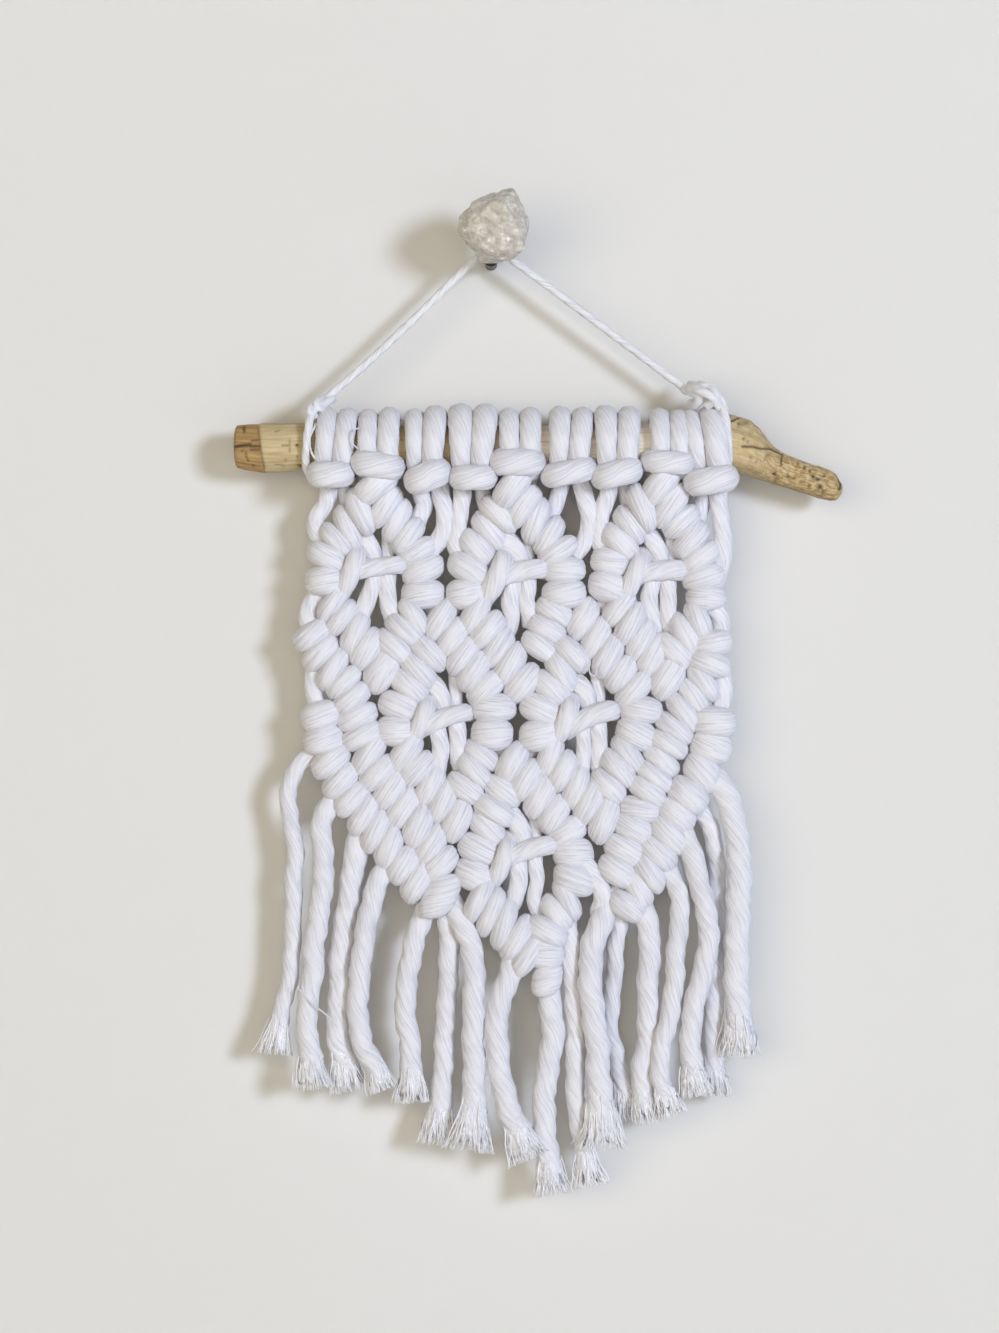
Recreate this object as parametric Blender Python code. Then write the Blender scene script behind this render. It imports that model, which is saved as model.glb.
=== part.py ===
"""Macrame wall hanging: thick white cotton cord knotted on a driftwood branch, which hangs by a
thin cord from a hook with a rough quartz knob. Metres, +X right, +Z up, the front faces -Y.
The wall is the plane Y = 0, and the origin is the hook stem's end on it."""

import math
from collections import namedtuple

import bmesh
import bpy
import numpy as np
from mathutils import Vector

# Driving dimensions, in metres.
MM = 0.001
CORD = 0.0080  # the thick cotton cord
HANGER_CORD = 0.0032
ROW = 0.0154  # across a row of hitches, at the middle of a hitch
ROW_WAIST = 0.80  # its width between two hitches, as a share of ROW
PANEL_Y = -0.020  # the knotted cloth's middle plane
BRANCH_Y = -0.0185
BRANCH_Z = -0.075
BRANCH_R = 0.0087  # under the loops
STEM_R = 0.0025
STEM_LENGTH = 0.0245
COLLAR_R = 0.0031
COLLAR_LENGTH = 0.0025  # at the stem's front end
GAP = 0.0003  # between pieces
CLEARANCE = 0.00035  # how far a piece is cut back from its neighbour

# Each diamond is four rows of hitches round a square knot. Corners in millimetres, X then Z.
Diamond = namedtuple("Diamond", "name top_x top_z left_x left_z right_x right_z low_x low_z")
DIAMONDS = (
    Diamond("upper_left", -47.6, -91.4, -66.4, -127.4, -27.6, -134.6, -43.2, -166.2),
    Diamond("upper_middle", 8.4, -91.4, -9.2, -133.0, 28.8, -133.4, 12.8, -169.0),
    Diamond("upper_right", 67.6, -90.2, 48.0, -131.0, 85.6, -135.4, 70.4, -167.4),
    Diamond("middle_left", -20.4, -144.2, -36.8, -189.0, 0.0, -189.8, -13.6, -224.2),
    Diamond("middle_right", 36.8, -143.4, 20.0, -190.2, 58.0, -189.8, 44.8, -224.2),
    Diamond("lowest", 8.4, -201.0, -6.0, -246.2, 32.8, -248.6, 14.4, -279.4),
)
# A diamond's other row ends, in millimetres from its corners.
UPPER_LEFT_START = (-5.0, -11.5)  # from the top
LOWER_LEFT_START = (3.0, -9.0)  # from the left corner
LOWER_RIGHT_START = (-3.2, -7.0)  # from the right corner
LOWER_RIGHT_END = (3.6, 13.0)  # from the lowest corner
# Where each row turns most, as shares of its way across and down, and its number of hitches.
RowShape = namedtuple("RowShape", "turn_x turn_z hitches")
UPPER_RIGHT = RowShape(0.92, 0.43, 7)
UPPER_LEFT = RowShape(0.84, 0.32, 5)
LOWER_LEFT = RowShape(0.48, 0.42, 5)
LOWER_RIGHT = RowShape(0.50, 0.50, 3)

# A square knot, in millimetres from the middle between its diamond's side corners, with how far
# each place lies behind the cloth's middle plane.
KnotPlace = namedtuple("KnotPlace", "x z behind")
KNOT_BACK, KNOT_MIDDLE, KNOT_PROUD = 2.0, -2.0, -5.0
KNOT_CORES = (
    (KnotPlace(-3.4, 24.0, KNOT_BACK), KnotPlace(-1.6, 8.0, KNOT_BACK), KnotPlace(-5.4, -17.0, KNOT_BACK)),
    (KnotPlace(6.4, 24.0, KNOT_BACK), KnotPlace(5.0, 8.0, KNOT_BACK), KnotPlace(7.6, -17.0, KNOT_BACK)),
)
KNOT_BAR = (
    KnotPlace(-8.5, 7.5, KNOT_MIDDLE),
    KnotPlace(-4.0, 7.4, KNOT_PROUD),
    KnotPlace(8.0, 9.6, KNOT_PROUD),
    KnotPlace(13.0, 4.0, KNOT_BACK),
    KnotPlace(13.0, -11.0, KNOT_BACK),
)
KNOT_LOOP = (
    KnotPlace(-10.0, 22.0, KNOT_BACK),
    KnotPlace(-4.6, 14.0, KNOT_MIDDLE),
    KnotPlace(-9.5, 7.5, KNOT_PROUD),
    KnotPlace(-12.2, -0.8, KNOT_MIDDLE),
    KnotPlace(-13.5, -11.0, KNOT_BACK),
)
# The two small knots that end the lowest rows, each along three places.
LEFT_END_KNOT = ((-27.6, -250.0), (-22.0, -255.0), (-19.0, -262.0))
TIP_KNOT = ((15.6, -281.0), (20.0, -286.0), (22.4, -291.0))

# The slanting rows of the point's two edges, each through four places in millimetres.
Edge = namedtuple("Edge", "name hitches ax az bx bz cx cz dx dz")
EDGES = (
    Edge("left_inner", 14, -71.6, -151.0, -55.2, -177.0, -41.2, -209.4, -20.4, -242.2),
    Edge("left_outer", 10, -67.6, -183.0, -59.6, -207.4, -45.2, -229.0, -29.2, -249.0),
    Edge("right_inner", 14, 88.4, -153.4, 75.6, -183.0, 63.2, -209.4, 50.0, -245.4),
    Edge("right_outer", 10, 88.4, -185.4, 77.6, -214.6, 66.4, -237.0, 54.0, -258.6),
)

# The lark's heads, in millimetres: the middle of the two strands over the branch, how far they
# lean to the right going down, and the bar across their foot, with its rise to the right.
LarksHead = namedtuple("LarksHead", "x lean bar_x bar_z bar_rise")
LARKS_HEADS = (
    LarksHead(-62.0, -3.6, -63.6, -86.6, 1.0),
    LarksHead(-44.6, -0.8, -45.0, -82.6, -1.4),
    LarksHead(-26.2, 0.0, -25.2, -87.4, 3.0),
    LarksHead(-7.4, 0.0, -7.2, -87.8, 0.0),
    LarksHead(11.4, 0.4, 10.4, -81.8, -0.5),
    LarksHead(31.4, 0.2, 31.0, -85.4, 2.4),
    LarksHead(50.4, -0.4, 50.2, -85.8, 1.8),
    LarksHead(70.6, 1.0, 70.4, -81.4, 0.0),
    LarksHead(86.0, 2.4, 87.6, -89.0, 2.0),
)
LARKS_SPREAD = 4.3  # from their middle to each strand's own
LARKS_FOOT = 11.0  # how far the strands run on below the bar's middle
LARKS_TURNS = (-54, 250, 50)  # degrees round the branch: from, to and step
# The bar's way from under the branch, across its front and back under it.
BarPlace = namedtuple("BarPlace", "x foot before")  # foot: 0 under the branch, 1 at the bar
LARKS_BAR = (
    BarPlace(-5.0, 0.0, 2.0),
    BarPlace(-5.8, 0.5, 10.0),
    BarPlace(-3.6, 1.0, 14.8),
    BarPlace(3.6, 1.0, 14.8),
    BarPlace(5.8, 0.5, 10.0),
    BarPlace(5.0, 0.0, 2.0),
)
LARKS_BAR_HALF = 5.4  # how far its middle clears the branch
LARKS_BAR_SPAN = 20.0  # over which its rise is given

# Strands that run from one knot to the next, each through three places in millimetres.
Link = namedtuple("Link", "ax az bx bz cx cz")
LINKS = (
    Link(-65.6, -92.0, -71.2, -106.0, -66.0, -119.0),
    Link(-29.4, -93.0, -27.0, -104.0, -32.0, -115.0),
    Link(-21.4, -93.0, -18.0, -106.0, -27.0, -122.0),
    Link(-11.4, -93.0, -14.4, -108.0, -6.0, -120.0),
    Link(35.6, -91.0, 39.4, -105.0, 30.0, -119.0),
    Link(46.4, -91.0, 43.8, -108.0, 49.0, -120.0),
    Link(84.0, -93.0, 83.4, -104.0, 82.0, -114.0),
    Link(91.6, -93.0, 92.8, -118.0, 88.0, -152.0),
    Link(-67.6, -130.0, -72.8, -140.0, -71.6, -151.0),
    Link(-70.4, -156.0, -70.0, -168.0, -67.6, -183.0),
    Link(89.0, -156.0, 93.0, -170.0, 88.4, -185.4),
    Link(34.0, -248.0, 43.0, -252.0, 39.0, -262.0),
)

# The fringe, in millimetres: each strand's start, its X at a third and two thirds of its drop,
# its tip, how far it hangs before the wall, and the width of its frayed end.
Strand = namedtuple("Strand", "x z third_x two_thirds_x tip_x tip_z y fray")
FRINGE_LEFT = (
    Strand(-74.8, -199.8, -78.8, -80.0, -88.0, -317.0, -17, 12),
    Strand(-65.6, -215.0, -68.0, -72.4, -70.4, -330.2, -22, 11),
    Strand(-55.2, -231.0, -58.4, -60.4, -57.4, -331.4, -17, 9),
    Strand(-43.6, -244.2, -50.8, -53.2, -43.5, -330.2, -23, 11),
    Strand(-26.0, -261.4, -33.2, -32.8, -31.6, -336.2, -19, 10),
    Strand(-16.8, -271.8, -17.6, -19.2, -22.0, -353.4, -16, 12),
    Strand(-16.4, -262.2, -8.0, -6.8, -8.4, -355.0, -23, 12),
)
FRINGE_POINT = (
    Strand(8.4, -278.2, 2.4, 4.8, 14.0, -358.6, -24, 10),
    Strand(22.6, -297.0, 23.2, 21.6, 24.4, -373.0, -20, 11),
    Strand(29.6, -266.2, 34.0, 34.0, 39.0, -370.2, -15, 9),
)
FRINGE_RIGHT = (
    Strand(46.0, -261.0, 41.2, 44.0, 42.0, -356.2, -24, 11),
    Strand(49.2, -271.8, 48.4, 51.2, 55.6, -343.4, -14, 9),
    Strand(63.2, -262.2, 64.0, 61.2, 63.2, -344.6, -20, 9),
    Strand(71.6, -245.4, 72.8, 74.0, 72.8, -343.8, -24, 9),
    Strand(80.4, -231.8, 86.4, 87.6, 91.6, -333.8, -25, 9),
    Strand(76.8, -238.2, 80.0, 80.4, 82.0, -333.8, -14, 8),
    Strand(88.0, -228.2, 91.2, 90.4, 90.0, -320.2, -14, 8),
    Strand(94.8, -212.2, 98.8, 98.0, 99.5, -318.2, -21, 11),
)
LOCK_WIDTHS = (0.34, 0.30, 0.08)  # a frayed lock's, as shares of the cord
WAVES = 3.5  # soft kinks along a strand, where hitches had pressed it
WAVE_HEIGHT = 1.0  # millimetres
STRAND_STATIONS = 8  # the last one is the frayed end

# The branch, in millimetres: its middle line and its radius, from the left.
BranchStation = namedtuple("BranchStation", "x z radius")
BRANCH = (
    BranchStation(-103.2, -75.0, 8.2),
    BranchStation(-101.8, -75.0, 8.9),
    BranchStation(-92.4, -75.2, 9.1),
    BranchStation(-91.2, -75.0, 9.9),
    BranchStation(-82.0, -75.2, 9.8),
    BranchStation(-74.0, -75.2, 9.2),
    BranchStation(-66.0, -75.2, 8.8),
    BranchStation(-40.0, -75.2, 8.7),
    BranchStation(0.0, -74.8, 8.6),
    BranchStation(40.0, -75.0, 8.7),
    BranchStation(78.0, -74.4, 8.8),
    BranchStation(91.0, -73.8, 9.4),
    BranchStation(98.0, -73.4, 10.4),
    BranchStation(106.0, -76.4, 9.8),
    BranchStation(113.0, -81.0, 7.6),
    BranchStation(121.0, -84.8, 6.4),
    BranchStation(130.4, -88.6, 6.2),
    BranchStation(137.4, -91.6, 5.2),
    BranchStation(140.2, -92.8, 3.4),
)

# The hanging cord's route over the stem, in millimetres.
HangerPoint = namedtuple("HangerPoint", "x z")
HANGER = (
    HangerPoint(-70.4, -59.1),
    HangerPoint(-64.8, -54.4),
    HangerPoint(-50.0, -41.6),
    HangerPoint(-36.0, -28.6),
    HangerPoint(-22.0, -15.0),
    HangerPoint(-12.0, -5.2),
    HangerPoint(-3.9, 2.6),
    HangerPoint(-1.3, 4.2),
    HangerPoint(1.7, 4.4),
    HangerPoint(4.4, 3.2),
    HangerPoint(12.0, -2.5),
    HangerPoint(28.0, -14.4),
    HangerPoint(45.0, -27.1),
    HangerPoint(62.0, -39.8),
    HangerPoint(79.6, -53.0),
)
# Where its ends go round the branch, and their knots, each through three places.
HangerEnd = namedtuple("HangerEnd", "name wrap_x branch_radius ax az bx bz cx cz knot_radius")
HANGER_ENDS = (
    HangerEnd("hanger_knot_left", -73.4, 9.4, -75.4, -62.6, -73.3, -61.0, -71.2, -59.4, 3.2),
    HangerEnd("hanger_knot_right", 95.0, 10.6, 95.4, -61.4, 88.4, -54.4, 80.6, -53.2, 4.8),
)
HANGER_KNOT_SWELL = (0.45, 0.90, 1.00, 1.00, 0.55)
WRAP_RISE = 0.4  # the turns hang on the branch's top

# The quartz knob's outline from the front, in millimetres.
QuartzPoint = namedtuple("QuartzPoint", "x z")
QUARTZ = (
    QuartzPoint(-13.2, 11.8),
    QuartzPoint(-11.2, 18.2),
    QuartzPoint(-6.0, 22.8),
    QuartzPoint(0.4, 24.4),
    QuartzPoint(10.4, 26.2),
    QuartzPoint(13.6, 20.6),
    QuartzPoint(15.2, 15.0),
    QuartzPoint(14.8, 7.8),
    QuartzPoint(14.4, 0.8),
    QuartzPoint(4.8, -1.2),
    QuartzPoint(-3.2, 1.4),
    QuartzPoint(-10.0, 5.4),
)
QUARTZ_MIDDLE = (1.0, 12.0)
QUARTZ_BACK = -(STEM_LENGTH + GAP) / MM
QUARTZ_SEAT_R = 2.1  # the flat on which it is glued to the stem
QuartzRing = namedtuple("QuartzRing", "y share least")
QUARTZ_RINGS = (
    QuartzRing(QUARTZ_BACK, 0.62, 1.00),
    QuartzRing(QUARTZ_BACK - 5.0, 0.93, 0.94),
    QuartzRing(-38.0, 1.00, 1.00),
    QuartzRing(-45.0, 0.86, 0.94),
    QuartzRing(-50.0, 0.48, 0.94),
)
QUARTZ_MOST = 1.03  # an uneven ring's points lie from least to this share of their place


def clear_scene():
    for thing in list(bpy.data.objects):
        bpy.data.objects.remove(thing)


def make_collection(name):
    collection = bpy.data.collections.new(name)
    bpy.context.scene.collection.children.link(collection)
    return collection


def make_material(name, colour, roughness, metallic=0.0):
    material = bpy.data.materials.new(name)
    material.use_nodes = True
    shader = material.node_tree.nodes["Principled BSDF"]
    shader.inputs["Base Color"].default_value = (*colour, 1.0)
    shader.inputs["Roughness"].default_value = roughness
    shader.inputs["Metallic"].default_value = metallic
    return material


def smooth_route(points, count):
    """A smooth line through the points, as a Catmull-Rom spline sampled at even parameters."""
    points = np.asarray(points, float)
    padded = np.vstack([2 * points[0] - points[1], points, 2 * points[-1] - points[-2]])
    at = np.linspace(0, len(points) - 1, count)
    i = np.minimum(at.astype(int), len(points) - 2)
    t = (at - i)[:, None]
    a, b, c, d = (padded[i + k] for k in range(4))
    return 0.5 * (
        2 * b + (c - a) * t + (2 * a - 5 * b + 4 * c - d) * t**2 + (3 * b - a - 3 * c + d) * t**3
    )


def tube(name, points, radii, sides_level, collection, ring=False):
    """A curve through the points, in metres, with a radius at each, made a closed mesh."""
    curve = bpy.data.curves.new(name, "CURVE")
    curve.dimensions = "3D"
    curve.bevel_depth = 1.0
    curve.bevel_resolution = sides_level
    curve.use_fill_caps = not ring
    spline = curve.splines.new("POLY")
    spline.points.add(len(points) - 1)
    radii = np.broadcast_to(radii, len(points))
    for place, co, radius in zip(spline.points, points, radii, strict=True):
        place.co = (*co, 1.0)
        place.radius = radius
    spline.use_cyclic_u = ring
    guide = bpy.data.objects.new(name + "_curve", curve)
    bpy.context.scene.collection.objects.link(guide)
    graph = bpy.context.evaluated_depsgraph_get()
    mesh = bpy.data.meshes.new_from_object(guide.evaluated_get(graph))
    bpy.data.objects.remove(guide)
    shape = bmesh.new()
    shape.from_mesh(mesh)
    bmesh.ops.remove_doubles(shape, verts=shape.verts, dist=0.01 * MM)
    bmesh.ops.recalc_face_normals(shape, faces=shape.faces)
    if shape.calc_volume(signed=True) < 0:
        bmesh.ops.reverse_faces(shape, faces=shape.faces)
    shape.to_mesh(mesh)
    shape.free()
    piece = bpy.data.objects.new(name, mesh)
    collection.objects.link(piece)
    return piece


def front(x, z, y=PANEL_Y):
    """A place given by its millimetres across and up, in metres."""
    return (x * MM, y, z * MM)


def shoulder_curve(start, end, shape):
    """A row's hitch middles, on a curve that leaves start and turns to end at the row's shoulder."""
    start, end = np.array(start), np.array(end)
    shoulder = start + (end - start) * (shape.turn_x, shape.turn_z)
    t = np.linspace(0, 1, shape.hitches)[:, None]
    return (1 - t) ** 2 * start + 2 * t * (1 - t) * shoulder + t**2 * end


def hitch_stations(middles):
    """A row's route and widths: wide at each hitch's middle, narrow between two and at the ends."""
    middles = np.asarray(middles, float)
    between = (middles[1:] + middles[:-1]) / 2
    first = middles[0] + (middles[0] - middles[1]) * 0.45
    last = middles[-1] + (middles[-1] - middles[-2]) * 0.45
    route = np.empty((2 * len(middles) + 1, 2))
    route[1::2] = middles
    route[0::2] = np.vstack([first, between, last])
    widths = np.where(np.arange(len(route)) % 2 == 1, 1.0, ROW_WAIST)
    return [front(x, z) for x, z in route], widths * ROW / 2


def hitch_row(name, middles, collection):
    """A row of double half hitches: a ridged bar with one swelling for each hitch."""
    route, radii = hitch_stations(middles)
    return tube(name, route, radii, 1, collection)


def diamond_rows(diamond):
    """The four rows' hitch middles, by name."""
    top = np.array((diamond.top_x, diamond.top_z))
    left = np.array((diamond.left_x, diamond.left_z))
    right = np.array((diamond.right_x, diamond.right_z))
    low = np.array((diamond.low_x, diamond.low_z))
    return {
        "upper_right": shoulder_curve(top, right, UPPER_RIGHT),
        "upper_left": shoulder_curve(top + UPPER_LEFT_START, left, UPPER_LEFT),
        "lower_left": shoulder_curve(left + LOWER_LEFT_START, low, LOWER_LEFT),
        "lower_right": shoulder_curve(right + LOWER_RIGHT_START, low + LOWER_RIGHT_END, LOWER_RIGHT),
    }


def edge_row(edge):
    """The hitch middles of one of the point's slanting rows."""
    places = [(edge.ax, edge.az), (edge.bx, edge.bz), (edge.cx, edge.cz), (edge.dx, edge.dz)]
    return smooth_route(places, edge.hitches)


def square_knot(diamond, collection):
    """Two straight strands down the diamond's middle, a bar across them, and a loop at its left."""
    x = (diamond.left_x + diamond.right_x) / 2
    z = (diamond.left_z + diamond.right_z) / 2

    def along(places):
        return [front(x + p.x, z + p.z, PANEL_Y + p.behind * MM) for p in places]

    for side, core in zip(("left", "right"), KNOT_CORES, strict=True):
        tube(f"{diamond.name}_core_{side}", along(core), 0.46 * CORD, 0, collection)
    tube(f"{diamond.name}_bar", along(KNOT_BAR), 0.47 * CORD, 1, collection)
    tube(f"{diamond.name}_loop", along(KNOT_LOOP), 0.52 * CORD, 1, collection)


def larks_head(number, knot, collection):
    """Two strands up over the branch's front and down its back, and the bar across their foot."""
    around = BRANCH_R + GAP + 0.63 * CORD
    for side in (-1, 1):
        foot_x = knot.bar_x + side * (LARKS_SPREAD - 0.3)
        route = [front(foot_x, knot.bar_z - LARKS_FOOT, PANEL_Y)]
        for turn in np.radians(np.arange(*LARKS_TURNS)):
            across = knot.x + side * LARKS_SPREAD - 0.5 * knot.lean * math.sin(turn)
            y = BRANCH_Y - around * math.cos(turn)
            z = BRANCH_Z + around * math.sin(turn)
            route.append((across * MM, y, z))
        tube(f"larks_head_{number}_strand_{side}", route, 0.52 * CORD, 1, collection)
    under_z = (BRANCH_Z - BRANCH_R - GAP) / MM - LARKS_BAR_HALF
    bar = []
    for place in LARKS_BAR:
        z = under_z + place.foot * (knot.bar_z - under_z) + place.x * knot.bar_rise / LARKS_BAR_SPAN
        bar.append(front(knot.bar_x + place.x, z, BRANCH_Y - place.before * MM))
    tube(f"larks_head_{number}_bar", bar, 0.60 * CORD, 1, collection)


def strand_pieces(name, strand, row, collection):
    """A fringe strand from its row's nearest hitch to its tip, with a frayed lock on each side."""
    y = strand.y * MM
    nearest = row[np.linalg.norm(row - (strand.x, strand.z), axis=1).argmin()]
    drop = strand.z - strand.tip_z
    across = (strand.x, strand.third_x, strand.two_thirds_x, strand.tip_x)
    guide = [(x, strand.z - drop * k / 3) for k, x in enumerate(across)]
    route = smooth_route(guide, STRAND_STATIONS)
    whole = np.linspace(0, 1, len(route))
    route[:, 0] += WAVE_HEIGHT * np.sin(2 * math.pi * (WAVES * whole + 0.37 * strand.x)) * whole
    places = [front(*nearest)] + [front(x, z, y) for x, z in route]
    radii = np.full(len(places), 0.5 * CORD)
    radii[-1] = 0.1 * CORD
    shaft = tube(name, places, radii, 0, collection)
    root = Vector(places[-2])
    tip = Vector(places[-1])
    for side in (-1, 1):
        out = Vector((side * strand.fray / 2 * MM, side * MM, (1 + side) * MM))
        inside = root.lerp(tip, -0.1) + Vector((side * 0.7 * MM, 0.4 * MM, 0))
        lock = [inside, root.lerp(tip, 0.45) + 0.6 * out, tip + out]
        tube(f"{name}_lock_{side}", lock, np.array(LOCK_WIDTHS) * CORD, 0, collection)
    return shaft


def copy_grown(name, source, grow, collection):
    """A mesh with each point moved outwards, which cuts a gap of that width beside the piece."""
    mesh = source.data.copy()
    shape = bmesh.new()
    shape.from_mesh(mesh)
    shape.normal_update()
    moved = [(v, v.normal * grow * v.calc_shell_factor()) for v in shape.verts]
    for v, step in moved:
        v.co += step
    shape.to_mesh(mesh)
    shape.free()
    grown = bpy.data.objects.new(name, mesh)
    collection.objects.link(grown)
    return grown


def join_all(name, pieces, keep_clear, material, home):
    """One solid of all the pieces, cut back from whatever it has to stay clear of."""
    solid = pieces.objects[0]
    solid.name = name
    solid.data.materials.append(material)
    pieces.objects.unlink(solid)
    home.objects.link(solid)
    union = solid.modifiers.new("Join", "BOOLEAN")
    union.operation = "UNION"
    union.operand_type = "COLLECTION"
    union.collection = pieces
    if keep_clear is not None:
        cut = solid.modifiers.new("Clearance", "BOOLEAN")
        cut.operation = "DIFFERENCE"
        cut.operand_type = "COLLECTION"
        cut.collection = keep_clear
    return solid


def make_branch(material, home):
    """A driftwood branch of twelve sides, which swells and bends down at its right end."""
    points = [front(s.x, s.z, BRANCH_Y) for s in BRANCH]
    radii = [s.radius * MM for s in BRANCH]
    branch = tube("driftwood_branch", points, radii, 4, home)
    branch.data.materials.append(material)
    return branch


def make_stem(metal, home):
    """The stem in the wall, with a collar at its front end that seats the knob."""
    collar_y = COLLAR_LENGTH - STEM_LENGTH
    step = 0.02 * MM  # a steep cone in place of a flat shoulder
    points = [(0, 0, 0), (0, collar_y, 0), (0, collar_y - step, 0), (0, -STEM_LENGTH, 0)]
    stem = tube("hook_stem", points, [STEM_R, STEM_R, COLLAR_R, COLLAR_R], 4, home)
    stem.data.materials.append(metal)


def make_quartz(stone, home):
    """The rough knob: a hull round its seat and five uneven copies of its outline, back to front."""
    draws = np.random.default_rng(7)
    middle_x, middle_z = QUARTZ_MIDDLE
    shape = bmesh.new()
    for ring in QUARTZ_RINGS:
        most = 1.0 if ring.least == 1.0 else QUARTZ_MOST
        reaches = ring.share * draws.uniform(ring.least, most, len(QUARTZ))
        for p, reach in zip(QUARTZ, reaches, strict=True):
            x = middle_x + (p.x - middle_x) * reach
            z = middle_z + (p.z - middle_z) * reach
            shape.verts.new(front(x, z, ring.y * MM))
    for turn in np.radians(np.arange(0, 360, 45)):
        seat_x, seat_z = QUARTZ_SEAT_R * math.cos(turn), QUARTZ_SEAT_R * math.sin(turn)
        shape.verts.new(front(seat_x, seat_z, QUARTZ_BACK * MM))
    bmesh.ops.convex_hull(shape, input=shape.verts)
    mesh = bpy.data.meshes.new("quartz_knob")
    shape.to_mesh(mesh)
    shape.free()
    mesh.materials.append(stone)
    knob = bpy.data.objects.new("quartz_knob", mesh)
    home.objects.link(knob)


def make_hanger_cord(cotton, home):
    """The thin cord from one knot over the stem to the other."""
    route = smooth_route([(p.x, p.z) for p in HANGER], 2 * len(HANGER) - 1)
    cord = tube("hanger_cord", [front(x, z, BRANCH_Y) for x, z in route], HANGER_CORD / 2, 2, home)
    cord.data.materials.append(cotton)


def hanger_ends():
    """At each end of the thin cord, the pieces of its knot and its turn round the branch."""
    for end in HANGER_ENDS:
        pieces = make_collection(end.name + "_pieces")
        around = end.branch_radius * MM + GAP + HANGER_CORD / 2
        middle_z = BRANCH_Z + WRAP_RISE * MM
        wrap = [
            (end.wrap_x * MM, BRANCH_Y + around * math.cos(a), middle_z + around * math.sin(a))
            for a in np.radians(np.arange(0, 360, 24))
        ]
        tube(end.name + "_wrap", wrap, HANGER_CORD / 2, 1, pieces, ring=True)
        knot = smooth_route([(end.ax, end.az), (end.bx, end.bz), (end.cx, end.cz)], 5)
        lump = [front(x, z, BRANCH_Y) for x, z in knot]
        radii = np.array(HANGER_KNOT_SWELL) * end.knot_radius * MM
        tube(end.name + "_lump", lump, radii, 2, pieces)
        yield end.name, pieces


def hide_helpers(collection):
    """Marks a collection of pieces that are joined or cut with as no part of the object."""
    collection.hide_render = True
    for helper in collection.objects:
        helper.hide_render = True
        helper.display_type = "WIRE"


def main():
    clear_scene()
    home = make_collection("macrame_wall_hanging")
    helpers = make_collection("panel_pieces")
    clearances = make_collection("panel_clearances")
    hanger_clearances = make_collection("hanger_clearances")
    cotton = make_material("cotton_cord", (0.86, 0.86, 0.90), 0.9)
    wood = make_material("driftwood", (0.55, 0.42, 0.25), 0.8)
    steel = make_material("dark_metal", (0.08, 0.07, 0.07), 0.4, 1.0)
    quartz = make_material("rough_quartz", (0.80, 0.77, 0.74), 0.15)

    branch = make_branch(wood, home)
    make_stem(steel, home)
    make_quartz(quartz, home)
    copy_grown("branch_clearance", branch, CLEARANCE, clearances)
    copy_grown("branch_clearance_hanger", branch, CLEARANCE, hanger_clearances)

    joins = []
    rows = {}
    for diamond in DIAMONDS:
        for side, middles in diamond_rows(diamond).items():
            rows[f"{diamond.name}_{side}"] = middles
        square_knot(diamond, helpers)
    for edge in EDGES:
        rows[edge.name] = edge_row(edge)

    left_knot = np.array(LEFT_END_KNOT)
    fringes = (
        ("fringe_left", {"left_outer": rows["left_outer"], "left_end_knot": left_knot}, FRINGE_LEFT),
        (
            "fringe_point",
            {
                "lowest_lower_left": rows["lowest_lower_left"],
                "lowest_lower_right": rows["lowest_lower_right"],
                "tip_knot": np.array(TIP_KNOT),
            },
            FRINGE_POINT,
        ),
        ("fringe_right", {"right_outer": rows["right_outer"]}, FRINGE_RIGHT),
    )
    for name, backing, strands in fringes:
        pieces = make_collection(name + "_pieces")
        for row_name, middles in backing.items():
            rows.pop(row_name, None)
            piece = hitch_row(row_name, middles, pieces)
            copy_grown(row_name + "_clearance", piece, CLEARANCE, clearances)
        for number, strand in enumerate(strands):
            shaft = strand_pieces(
                f"{name}_{number}", strand, np.vstack(list(backing.values())), pieces
            )
            copy_grown(f"{name}_{number}_clearance", shaft, CLEARANCE, clearances)
        joins.append((name, pieces, None))

    for name, middles in rows.items():
        hitch_row(name, middles, helpers)
    for number, knot in enumerate(LARKS_HEADS):
        larks_head(number, knot, helpers)
    for number, link in enumerate(LINKS):
        places = [(link.ax, link.az), (link.bx, link.bz), (link.cx, link.cz)]
        route = [front(x, z, PANEL_Y + 1.5 * MM) for x, z in smooth_route(places, 4)]
        tube(f"link_{number}", route, 0.48 * CORD, 0, helpers)
    joins.append(("knotted_panel", helpers, clearances))
    for name, pieces in hanger_ends():
        joins.append((name, pieces, hanger_clearances))
        for piece in pieces.objects:
            copy_grown(piece.name + "_clearance", piece, CLEARANCE, clearances)
    make_hanger_cord(cotton, home)
    for name, pieces, keep_clear in joins:
        join_all(name, pieces, keep_clear, cotton, home)
        hide_helpers(pieces)
    hide_helpers(clearances)
    hide_helpers(hanger_clearances)


main()
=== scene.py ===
import math

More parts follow.
